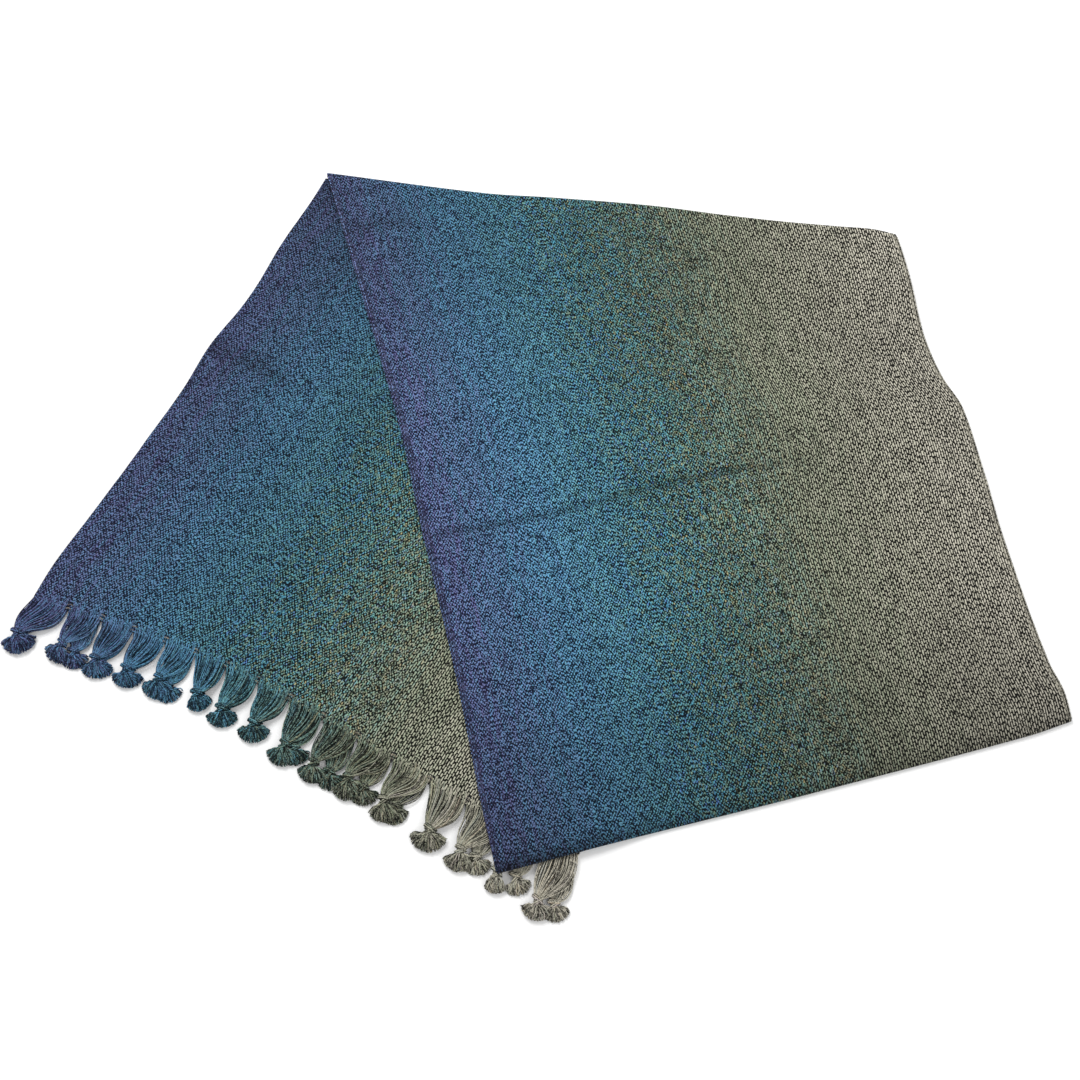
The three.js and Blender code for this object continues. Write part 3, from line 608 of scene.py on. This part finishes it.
def yarn_material(name):
    """Loose yarn: the warp's own colour at its tone, twisted from a light and a dark ply, with slubs.
    Every other yarn is painted darker, as shade between the strands, so that they stay apart."""
    material, net, place, run = yarn_tree(name)
    number, turn = net.math("FLOOR", place), net.math("FRACT", place)
    tone = net.add("ShaderNodeAttribute", {"attribute_name": "tone"}).outputs["Fac"]
    own = net.math("FRACT", net.math("MULTIPLY", tone, 977.0))
    slub = net.noise(net.math("MULTIPLY", own, 90.0), run, 0.4, 1.0)
    graded = net.math("MULTIPLY_ADD", net.math("SUBTRACT", slub, 0.5), 0.25, tone, clamp=True)
    warp = use(net, WARP_GROUP, Share=graded)
    ply = net.math("MULTIPLY_ADD", run, 0.55, net.math("MULTIPLY", turn, 2.0))
    twist = net.math("MULTIPLY_ADD", net.math("SINE", net.math("MULTIPLY", ply, 2 * math.pi)), 0.5, 0.5)
    third = net.math("FLOOR", net.math("MULTIPLY", turn, 3.0))
    fibre = net.chance(
        net.math("MULTIPLY_ADD", own, 50.0, third), net.math("FLOOR", net.math("MULTIPLY", run, 0.75))
    )
    # Every other yarn is painted darker, as shade between the strands; in the bundles these are the lower
    # layer. Each yarn also has its own random lightness.
    strand = net.math("MULTIPLY_ADD", net.math("MODULO", number, 2.0), 0.6, net.math("MULTIPLY", own, 0.4))
    deep = net.math("MULTIPLY_ADD", net.grade(tone, 0.1, 0.4), -0.16, -0.94)
    pale = net.math("MULTIPLY_ADD", net.grade(tone, 0.5, 0.98), 0.52, deep)
    light = net.math("MULTIPLY_ADD", fibre, 0.95, net.math("ADD", strand, pale))
    light = net.math("MULTIPLY_ADD", twist, 0.4, light, clamp=True)
    colour = net.blend(light, warp["Dark"], warp["Light"])
    tint = net.ramp(net.chance(net.math("MULTIPLY", own, 333.0), 2.0), SLUB_TINTS)
    colour = net.blend(0.3, colour, tint, "SOFT_LIGHT")
    bump = net.add("ShaderNodeBump", Strength=0.5, Distance=0.0003, Height=twist)
    matt(net, colour, 0.9, bump.outputs[0], 0.06)
    return material


WEFT_COLOURS = [(0.0, (12, 12, 22)), (0.35, (36, 34, 44)), (0.7, (104, 96, 88)), (1.0, (156, 144, 126))]


def weft_material():
    """The weft where it shows by itself: tan or near black by its tone, with fine dark fibres."""
    material, net, turn, run = yarn_tree("weft yarn")
    tone = net.add("ShaderNodeAttribute", {"attribute_name": "tone"}).outputs["Fac"]
    fibre = net.chance(
        net.math("FLOOR", net.math("MULTIPLY", turn, 4.0)), net.math("FLOOR", net.math("MULTIPLY", run, 1.4))
    )
    own = net.math("MULTIPLY_ADD", net.math("SUBTRACT", fibre, 0.5), 0.35, tone, clamp=True)
    colour = net.ramp(own, WEFT_COLOURS)
    matt(net, colour, 0.9)
    return material


woven_cloth = cloth_material("woven cloth")
fringe_yarn = yarn_material("fringe yarn")
weft_yarn = weft_material()

# The four stretches of cloth

LOWER_ACROSS, LOWER_ALONG, UNDER_ALONG = 400.0, 430.0, 500.0  # lengths that the rims are spaced by
# The inner and under stretches lie beneath the others; their lower tone is painted shade.
HIDDEN_TONE = 0.87


def roll(centre, out, radius_plan, radius, height, turns):
    """Part of a rounded fold: cosine of the turn outwards in plan, sine of it upwards."""
    flat = centre[:, None] + out[:, None] * (radius_plan * np.cos(turns))[None, :, None]
    tall = height[:, None] + radius * np.sin(turns)[None]
    return np.concatenate([flat, tall[..., None]], -1)


def upper_cloth():
    """The upper stretch: half a turn from under the cross fold, the face less half a cloth over the top,
    and half a turn round the slanted fold to the floor. Its tone is painted shade, darker towards both folds,
    near the raised point, along the cross fold and in the creases, with a thin pale line along the left edge."""
    u = edge_stations(150, WIDTH)
    v = np.linspace(0, 1, 210)
    grid_u, grid_v = np.meshgrid(u, v, indexing="ij")
    half = CLOTH / 2
    bottom, top = upper_plan(u, 0 * u), upper_plan(u, 0 * u + 1)
    bottom_out = unit(upper_plan(u, 0 * u + 0.02), bottom)
    top_out = unit(upper_plan(u, 0 * u + 0.98), top)
    axis = upper_height(u, 0 * u) - BOTTOM_ROLL
    turns = np.linspace(-math.pi / 2, math.pi / 2, 9)[:-1]
    low = roll(bottom, bottom_out, BOTTOM_ROLL - half, BOTTOM_ROLL - half, axis, turns)
    height = upper_height(grid_u, grid_v) + upper_relief(grid_u, grid_v) - half
    run = np.concatenate([upper_plan(grid_u, grid_v), height[..., None]], -1)
    radius = TOP_ROLL - half
    turns = np.linspace(math.pi / 2, -math.pi / 2, 14)[1:]
    high = roll(top, top_out, FOLD_SLANT * radius, radius, 0 * u + TOP_ROLL, turns)
    middle = np.concatenate([low, run, high], 1)
    start = (run[:, 0, :2] - POINT) @ ALONG_UPPER
    along = run_along(middle)
    along += (start - along[:, low.shape[1]])[:, None]
    uv = weave_place(u[:, None], along)
    near_point = np.exp(-np.linalg.norm(middle[..., :2] - POINT, axis=-1) / 60)
    share_v = np.concatenate([0 * low[..., 0], grid_v, 1 + 0 * high[..., 0]], 1)
    left = 1 - 1.1 * u[:, None]
    # Painted shade: darker towards the cross fold, near the raised point, and towards the slanted fold on the
    # left.
    tone = 1.02 - 0.33 * (1 - ease(share_v / 0.35)) - 0.15 * near_point
    tone = tone - 0.35 * ease((share_v - 0.55) / 0.4) * left
    # Painted shade in a band about 7 mm wide along the cross fold, deepest on the left.
    edge_in = np.linalg.norm(middle[..., :2] - bottom[:, None], axis=-1)
    tone = tone * (1 - (0.62 - 0.3 * ease(u[:, None] / 0.5)) * np.exp(-((edge_in / 7) ** 2)))
    # Painted shade in the storage crease and the top trough.
    tone = tone - shaded(middle[..., :2], STORAGE_CREASE, 0.42, 3.6)
    tone = tone - shaded(middle[..., :2], TOP_TROUGH, 0.2, 7)
    # A thin pale line along the left edge, towards the slanted fold.
    tone = tone + 0.7 * np.exp(-((u[:, None] * WIDTH / 1.1) ** 2)) * ease((share_v - 0.55) / 0.35)
    return shell("upper_cloth", middle, rounding(u, WIDTH)[:, None], 1.0, uv, woven_cloth, tone)


def inner_cloth():
    """The inner stretch: the upper one's face less a layer and half a cloth, then half a turn."""
    u = edge_stations(60, WIDTH)
    v = np.linspace(0, 1, 100)
    grid_u, grid_v = np.meshgrid(u, v, indexing="ij")
    peep = -INNER_PEEP * np.sin(math.pi * grid_v) ** 0.7 * (1 - ease(grid_u / 0.3))
    peep = peep - UNDER_INSET * ease((grid_u - 0.7) / 0.3)
    plan = upper_plan(grid_u, grid_v) + peep[..., None] * ACROSS_UPPER
    height = upper_height(grid_u, grid_v) + upper_relief(grid_u, grid_v) - LAYER - CLOTH / 2
    run = np.concatenate([plan, height[..., None]], -1)
    top = plan[:, -1]
    out = unit(upper_plan(u, 0 * u + 0.98), upper_plan(u, 0 * u + 1))
    radius = LAYER - GAP / 2 - CLOTH / 2
    turns = np.linspace(math.pi / 2, -math.pi / 2, 9)[1:]
    nose = roll(top, out, FOLD_SLANT * radius, radius, 0 * u + TOP_ROLL, turns)
    middle = np.concatenate([run, nose], 1)
    uv = weave_place(u[:, None], run_along(middle))
    return shell("inner_cloth", middle, rounding(u, WIDTH)[:, None], 1.0, uv, woven_cloth, HIDDEN_TONE)


def tuck_line(v):
    """The line under the upper stretch, one tuck in from its edge, where the lower one ends."""
    return upper_plan(np.full(np.shape(v), TUCK / WIDTH), v)


def tuck_meets_hem():
    """Where the line of the tuck crosses the woven end, by halving."""
    low, high = 0.0, 0.5
    span = float((HEM_RIGHT - HEM_LEFT) @ ACROSS_LOWER)
    for _ in range(40):
        v = (low + high) / 2
        point = tuck_line(v)
        u = 0.0
        for _ in range(24):
            u += float((point - hem(u)) @ ACROSS_LOWER) / span
        past = float((point - hem(u)) @ ALONG_LOWER)
        low, high = (v, high) if past > 0 else (low, v)
    return high, u


def lower_cloth():
    """The lower stretch as far as it shows, tucked under the upper one, from hem to fold: two layers
    less half a cloth, plus a swell, creases and cockles, which fade out at the tuck and the hem."""
    tuck_v, tuck_u = tuck_meets_hem()
    fold_share = TUCK_START / np.linalg.norm(HEM_LEFT - APEX)
    tuck_top = 1 - TUCK_START / np.linalg.norm(POINT - APEX)
    first, last = lower_selvedge(fold_share), tuck_line(tuck_top)
    plan_of = patch(
        lambda v: lower_selvedge(fold_share + (1 - fold_share) * v),
        lambda v: tuck_line(tuck_top + (tuck_v - tuck_top) * np.asarray(v)),
        lambda u: first * (1 - np.asarray(u)[..., None]) + last * np.asarray(u)[..., None],
        lambda u: hem(np.asarray(u) * tuck_u),
    )
    u = edge_stations(120, LOWER_ACROSS)
    v = edge_stations(140, LOWER_ALONG)[::-1]
    grid_u, grid_v = np.meshgrid(u, v, indexing="ij")
    plan = plan_of(grid_u, grid_v)
    tucked = plan_of(np.ones_like(grid_u), grid_v)
    clear = np.linalg.norm(plan - tucked, axis=-1) - TUCK - 3 * INNER_PEEP
    calm = ease(clear / CALM_WIDTH) * ease((1 - grid_v) / 0.08)
    swell = LOWER_WAVE_HEIGHT * (0.5 + 0.5 * np.sin(2 * math.pi * (1.1 * grid_u + 1.9 * grid_v) - 0.8))
    marks = crease(plan, LOWER_BAND, 0.9, 6.0, 0.3) + cockle(plan, 8)
    height = TWO_LAYERS - CLOTH / 2 + calm * np.maximum(swell + marks, 0)
    middle = np.concatenate([plan, height[..., None]], -1)
    from_fold = (plan - (APEX + TOP_IN)) @ ALONG_LOWER / np.linalg.norm(HEM_LEFT - APEX - TOP_IN)
    across = (plan - (APEX + TOP_IN)) @ ACROSS_LOWER - wander(LOWER_SELVEDGE, from_fold)
    share = across / WIDTH
    to_hem = (hem(share) - plan) @ ALONG_LOWER
    round_u, round_v = rounding(u, LOWER_ACROSS)[:, None], rounding(v, LOWER_ALONG)[None]
    # Painted shade: darker towards the slanted fold and in the crease of the lower band.
    tone = 0.64 + 0.1 * ease(from_fold / 0.8) - shaded(plan, LOWER_BAND, 0.2, 8)
    tone = tone + (0.26 + 0.16 * (1 - ease((from_fold - 0.45) / 0.35))) * ease((share - 0.3) / 0.26)
    # More painted shade near the slanted fold, under the upper stretch.
    tone = tone - 0.13 * (1 - ease(from_fold / 0.3))
    # Painted shadow under and within about 5 mm of the upper stretch's edge, fading away from the fold.
    beside = np.linalg.norm(plan - tucked, axis=-1) - TUCK
    tone = tone * (1 - 0.45 * np.exp(-((np.maximum(beside, 0) / 5) ** 2)) * (1 - ease(from_fold / 0.5)))
    uv = weave_place(share, to_hem)
    return shell("lower_cloth", middle, round_u, round_v, uv, woven_cloth, tone)


def under_cloth():
    """The under stretch, flat on the floor at half a cloth, from the woven end to the slanted fold."""
    plan_of = patch(
        lambda v: lower_selvedge(0.004 + 0.996 * np.asarray(v)) + UNDER_INSET * ACROSS_LOWER,
        lambda v: SHOULDER + TOP_IN + (HEM_RIGHT - SHOULDER - TOP_IN) * np.asarray(v)[..., None],
        lambda u: slanted_fold(u) + UNDER_INSET * ACROSS_LOWER * (1 - np.asarray(u)[..., None]),
        lambda u: hem(u) + UNDER_INSET * ACROSS_LOWER * (1 - np.asarray(u)[..., None]),
    )
    u = edge_stations(60, WIDTH)
    v = edge_stations(60, UNDER_ALONG)[::-1]
    grid_u, grid_v = np.meshgrid(u, v, indexing="ij")
    plan = plan_of(grid_u, grid_v)
    middle = np.concatenate([plan, np.full(plan.shape[:2] + (1,), CLOTH / 2)], -1)
    along = (hem(grid_u) - plan) @ ALONG_LOWER
    round_u, round_v = rounding(u, WIDTH)[:, None], rounding(v, UNDER_ALONG)[None]
    uv = weave_place(grid_u, along)
    return shell("under_cloth", middle, round_u, round_v, uv, woven_cloth, HIDDEN_TONE)


upper, inner, lower, under = upper_cloth(), inner_cloth(), lower_cloth(), under_cloth()

# The fringe

YARN = 0.42


def hem_share(i):
    """Where gap i meets the woven end: evenly spaced, less the crowding times a sine squared."""
    even = i / len(TASSELS)
    return even - TASSEL_CROWDING * math.sin(math.pi * even) ** 2


def dyed(share):
    """The fringe is bluer than the cloth at the blue end, paler at the other: the share less a small sine."""
    return share - 0.04 * np.sin(2 * math.pi * share)


def with_height(plan, height):
    """Plan points with their height as the third number."""
    return np.concatenate([plan, np.broadcast_to(height, plan.shape[:-1])[..., None]], -1)


def bundle(i, knot, low, high, inside, count, rng):
    """The ends of one tassel from the woven end to the knot, a cubic curve each. On its left side they
    go straight down, on its right side along the warp and then into the knot from the right."""
    lane = np.linspace(-0.5, 0.5, count)
    share = hem_share(i) + (hem_share(i + 1) - hem_share(i)) * (0.5 + 0.96 * lane)
    begin = rng.uniform(0.5, inside, count)
    start = hem(share) - ALONG_LOWER * begin[:, None]
    reach = np.linalg.norm(start - knot[:2], axis=1, keepdims=True)
    right = (lane + 0.5)[:, None]
    straight = np.array([0.06, -1.0]) if i else ALONG_LOWER
    outward = ALONG_LOWER + (0.5 if i == 15 else 0.2) * ACROSS_LOWER
    leave = unit(0 * start, straight * (1 - right) + outward * right)
    turn = np.radians(97 - 78 * (lane + 0.5) ** 1.3 + rng.uniform(-6, 6, count))
    arrive = np.stack([np.cos(turn), np.sin(turn)], 1)
    b = start + leave * reach * (0.40 + 0.12 * right)
    c = knot[:2] + arrive * reach * (0.44 - 0.04 * right) + np.outer(lane, [4.0, 0.0])
    d = knot[:2] + arrive * 1.5 + np.outer(lane, [3.5, 0.0])
    steps = 13
    plan = curve(start, b, c, d, steps)
    t = np.linspace(0, 1, steps)
    swell = np.sin(math.pi * np.clip(t, 0, 1)) ** 2
    # The even yarns lie lower; the fringe material paints them darker, as shade.
    layer = np.where(np.arange(count) % 2, 0.0, -1.0)
    stack = np.sqrt(np.clip(1 - (1.9 * lane) ** 2, 0, 1)) * rng.uniform(-0.4, 1, count)
    first = low + 0.012 * begin + 0.75 * layer + rng.uniform(-0.15, 0.15, count)
    last = knot[2] + 0.6 * layer
    height = first[:, None] * (1 - ease(t)) + last[:, None] * ease(t) + (stack * high)[:, None] * swell
    plan = plan + rng.normal(0, 0.4, (count, 1, 2)) * np.sin(math.pi * t)[None, :, None]
    paths = np.concatenate([plan, np.maximum(height, YARN)[..., None]], -1)
    tone = np.clip(dyed(share) + rng.uniform(-0.05, 0.05, count), 0, 1)
    return paths, np.full((count, steps), YARN), tone


def stray_loops(i, knot, low, rng):
    """Two ends that leave the bundle on its right side in a wide loop of their own, a cubic curve each."""
    count = 2
    share = hem_share(i) + (hem_share(i + 1) - hem_share(i)) * rng.uniform(0.55, 0.97, count)
    start = hem(share) - ALONG_LOWER * rng.uniform(1, 5, (count, 1))
    b = start + ALONG_LOWER * rng.uniform(10, 16, (count, 1)) + np.array([2.0, 0.0])
    c = knot[:2] + np.stack([rng.uniform(9, 14, count), rng.uniform(-1, 5, count)], 1)
    d = knot[:2] + np.array([2.5, 0.5])
    plan = curve(start, b, c, d, 15)
    t = np.linspace(0, 1, 15)
    height = (low + 0.7) * (1 - t) + (knot[2] + 1.0) * t + 0.8 * np.sin(math.pi * t)
    paths = with_height(plan, np.broadcast_to(height, plan.shape[:2]))
    return paths, np.full((count, 15), YARN * 0.9), np.clip(dyed(share) + 0.12, 0, 1)


def knot_wraps(knot, size, heading, tone, rng):
    """Strands wound round the knot: tilted rings of the knot's own half widths, one beside the other."""
    count = 9
    turn = np.linspace(0, 2 * math.pi, 19)[None]
    place = np.linspace(-1, 1, count)[:, None]
    tilt = np.radians(rng.uniform(14, 34)) * np.array([1, 1, 1, 1, 1, -1, -1, -1, 1])[:, None]
    swell = np.sqrt(1 - 0.6 * place**2)
    side = np.array([-heading[1], heading[0]])
    across = size[0] * swell * np.cos(turn + 0.4)
    tall = size[2] * swell * np.sin(turn + 0.4)
    along = size[1] * 0.75 * place + np.tan(tilt) * across
    plan = knot[:2] + across[..., None] * side + along[..., None] * heading
    paths = np.concatenate([plan, np.maximum(knot[2] + tall, 0.55)[..., None]], -1)
    return paths, np.full(paths.shape[:2], 0.55), tone + rng.uniform(-0.05, 0.05, count)


def tuft(knot, heading, tail, spread, low, high, tone, count, rng):
    """Cut ends below the knot: a fan of 3 degrees each way for each millimetre of its width, at most 68,
    longest in the middle, so that it ends on a rounded line; the ends are a little wavy, the upper ones
    shorter, and each bends towards the floor."""
    lane = np.linspace(-1, 1, count) + rng.uniform(-0.03, 0.03, count)
    angle = lane * math.radians(min(3.0 * spread, 68))
    side = np.array([-heading[1], heading[0]])
    ray = np.cos(angle)[:, None] * heading + np.sin(angle)[:, None] * side
    layer = rng.uniform(-1, 1, count)
    cut = 0.34 * np.maximum(layer, 0) ** 1.5 + rng.uniform(0, 0.08, count)
    length = tail * (1 - 0.1 * lane**2) * (1 - cut)
    start = knot[:2] + np.outer(lane * 2.6, side) + heading * 2.8
    end = knot[:2] + ray * length[:, None]
    b = start + (0.7 * ray + 0.3 * side * lane[:, None]) * (0.4 * length)[:, None]
    c = end - (0.7 * ray + 0.3 * heading) * (0.35 * length)[:, None]
    plan = curve(start, b, c, end, 8)
    t = np.linspace(0, 1, 8)
    wavy = np.sin(t[None] * rng.uniform(5, 11, (count, 1)) + rng.uniform(0, 6.3, (count, 1)))
    wavy = wavy * rng.uniform(0.2, 0.9, (count, 1)) * t
    plan = plan + wavy[..., None] * np.stack([-ray[:, 1], ray[:, 0]], 1)[:, None]
    middle = (low + high) / 2
    puff = 1.4 * np.sin(math.pi * t) ** 1.2
    first, last = knot[2] + layer * 1.8, middle + layer * (high - low) / 2
    height = first[:, None] * (1 - ease(t)) + last[:, None] * ease(t) + puff * (layer > 0)[:, None]
    paths = np.concatenate([plan, np.maximum(height, YARN)[..., None]], -1)
    return paths, np.full((count, 8), YARN), np.clip(tone + rng.uniform(-0.1, 0.08, count), 0, 1)


def core(knot, size, tone):
    """The body of the knot: a short thick yarn with a rounded radius along it."""
    t = np.linspace(-1, 1, 9)
    path = np.stack([0 * t + knot[0], knot[1] - t * size[1], 0 * t + knot[2]], 1)[None]
    return path, size[2] * 0.92 * np.sqrt(np.clip(1 - t**2, 0.03, 1))[None], np.array([tone])


def tassel(i, front):
    """One knotted bundle: its ends, the wound knot and the tuft."""
    rng = np.random.default_rng(100 + 2 * i + front)
    lean, reach, turn, tail, spread, rear_x, rear_y = TASSELS[i]
    root = (hem(hem_share(i)) + hem(hem_share(i + 1))) / 2 + ALONG_LOWER * 0.9
    spot = root + ALONG_LOWER * reach + ACROSS_LOWER * lean
    tone = dyed(hem_share(i + 0.5))
    apart = math.hypot(rear_x, rear_y) > 6
    if front:
        knot, size = np.array([*spot, 6.2]), (4.2, 3.7, 3.2)
        low, high, tuft_low, tuft_high, inside = LAYER + CLOTH - 0.1, 2.6, 1.6, 6.0, 9.0
    else:
        knot = np.array([spot[0] + rear_x, spot[1] + rear_y, 2.9 if apart else 2.2])
        size = (4.2, 3.7, 2.6 if apart else 1.8)
        turn, tail, spread = 14, 14.5, (19 if apart else 15)
        low, high, tuft_low, tuft_high, inside = CLOTH * 0.7, 0.8, 0.8, 3.0, 2.0
    angle = math.radians(turn - 90)
    heading = np.array([math.cos(angle), math.sin(angle)])
    groups = [
        (*bundle(i, knot, low, high, inside, 60 if front else 40, rng), 5),
        (*core(knot, size, tone), 8),
        (*knot_wraps(knot, size, heading, tone, rng), 6),
        (*tuft(knot, heading, tail - 0.3, spread, tuft_low, tuft_high, tone, 150 if front else 90, rng), 5),
    ]
    if front and i > 4:
        groups.append((*stray_loops(i, knot, low, rng), 5))
    side = "front" if front else "rear"
    thing = yarn_piece(f"fringe_{side}_{i + 1:02d}", groups, fringe_yarn)
    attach(thing, "root")
    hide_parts(f"tassel_{side}_{i + 1:02d}")
    return thing


front_fringe = [tassel(i, True) for i in range(len(TASSELS))]
rear_fringe = [tassel(i, False) for i in range(len(TASSELS))]


def weft_turns():
    """The last wefts where they turn between two tassels: five short arched yarns at each gap,
    one above the other along the warp, tan and black by turns."""
    rng = np.random.default_rng(21)
    paths, tones = [], []
    for i in range(1, len(TASSELS)):
        apex = hem(hem_share(i))
        across = unit(hem(hem_share(i) - 0.01), hem(hem_share(i) + 0.01))
        for k in range(5):
            wide = (1.5 + 0.35 * k) * rng.uniform(0.7, 1.15)
            t = np.linspace(-1, 1, 9)
            back = -(0.1 + 1.5 * k) + 0.6 * t**2 + rng.uniform(-0.25, 0.25) + rng.uniform(-0.25, 0.25) * t
            aside = rng.uniform(-0.5, 0.5)
            plan = apex + np.outer(t * wide + aside, across) + np.outer(back, ALONG_LOWER)
            paths.append(with_height(plan, TWO_LAYERS + 0.22 - 0.5 * t**4))
            tones.append(rng.uniform(0.55, 0.9) if k % 2 else rng.uniform(0, 0.25))
    return yarn_piece("weft_turns", [(np.array(paths), 0.4, np.array(tones), 6)], weft_yarn)


def selvedge_yarns(name, plan_at, height_at, marks, tone):
    """Thicker edge yarns: tubes beside each other along a selvedge, at marks of
    (millimetres in from the edge, millimetres below the cloth's face, radius)."""
    v = np.linspace(0, 1, 260)
    groups = []
    for inwards, below, radius in marks:
        path = with_height(plan_at(inwards, v), height_at(inwards, v) - below)
        thick = radius * (1 + 0.12 * np.sin(v * 900 + inwards * 5))
        groups.append((path[None], thick[None], np.array([tone]), 6))
    return yarn_piece(name, groups, fringe_yarn)


def upper_top(inwards, v, right=False):
    """The upper stretch's face at a distance in from its left or right edge."""
    u = (WIDTH - inwards if right else inwards) / WIDTH + 0 * v
    return upper_height(u, v) + upper_relief(u, v)


MARKS = [(0.3, 0.9, 0.75), (1.8, 0.12, 0.38), (3.1, 0.1, 0.38)]
upper_edge = selvedge_yarns(
    "upper_selvedge", lambda d, v: upper_plan(d / WIDTH + 0 * v, v), upper_top, MARKS, 0.01)
far_edge = selvedge_yarns(
    "upper_far_selvedge", lambda d, v: upper_plan(1 - d / WIDTH + 0 * v, v),
    lambda d, v: upper_top(d, v, True), MARKS, 0.96)
lower_edge = selvedge_yarns(
    "lower_selvedge", lambda d, v: lower_selvedge(0.004 + 0.99 * v) + d * ACROSS_LOWER,
    lambda d, v: TWO_LAYERS + 0 * v, MARKS, 0.02)
turns = weft_turns()
for piece in (upper_edge, far_edge, lower_edge, turns):
    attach(piece, "root")

# What each piece stands for

for piece, node in (
    (upper, "upper_layer"), (lower, "lower_layer"), (inner, "hidden_layers"), (under, "hidden_layers"),
):
    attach(piece, "root")
    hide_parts(node)

# Floor, light and camera

FLOOR_HALF = 4.0
LOOK_DOWN, FOCAL_SHARE, SENSOR = 72.4, 1400 / 1080, 36  # degrees, focal length as a share of the picture, mm
CAMERA_BACK, CAMERA_HEIGHT = 335.656, 1.05812  # mm, m

floor_mesh = bpy.data.meshes.new("floor")
corners = [(x * FLOOR_HALF, y * FLOOR_HALF, -0.0002) for x, y in ((-1, -1), (1, -1), (1, 1), (-1, 1))]
floor_mesh.from_pydata(corners, [], [(0, 1, 2, 3)])
floor = bpy.data.objects.new("floor", floor_mesh)
bpy.context.scene.collection.objects.link(floor)
paper = bpy.data.materials.new("pale floor")
paper.use_nodes = True
surface = paper.node_tree.nodes["Principled BSDF"].inputs
surface["Base Color"].default_value = (0.92, 0.92, 0.92, 1)
surface["Roughness"].default_value = 0.9
floor_mesh.materials.append(paper)

scene = bpy.context.scene
scene.view_settings.view_transform = "Standard"
world = bpy.data.worlds.new("studio")
world.use_nodes = True
sky = world.node_tree.nodes["Background"].inputs
sky["Color"].default_value, sky["Strength"].default_value = (1, 1, 1, 1), 0.6
scene.world = world


def lamp(name, place, size, watts):
    """A square soft light at a place, turned to the middle of the scarf."""
    light = bpy.data.lights.new(name, "AREA")
    light.size = size
    light.energy = watts
    thing = bpy.data.objects.new(name, light)
    thing.location = place
    from_centre = np.array(place) / np.linalg.norm(place)
    round_up = math.atan2(from_centre[1], from_centre[0]) + math.pi / 2
    thing.rotation_euler = (math.acos(from_centre[2]), 0, round_up)
    scene.collection.objects.link(thing)


lamp("key", (-0.5, 0.9, 1.5), 0.9, 24)
lamp("fill", (0.9, -0.5, 1.8), 1.6, 12)

camera = bpy.data.objects.new("camera", bpy.data.cameras.new("camera"))
camera.data.lens, camera.data.sensor_width, camera.data.clip_end = FOCAL_SHARE * SENSOR, SENSOR, 20
camera.location = (PLACE[0] / 1000, (PLACE[1] - CAMERA_BACK) / 1000, CAMERA_HEIGHT)
camera.rotation_euler = (math.radians(90 - LOOK_DOWN), 0, 0)
scene.collection.objects.link(camera)
scene.camera = camera
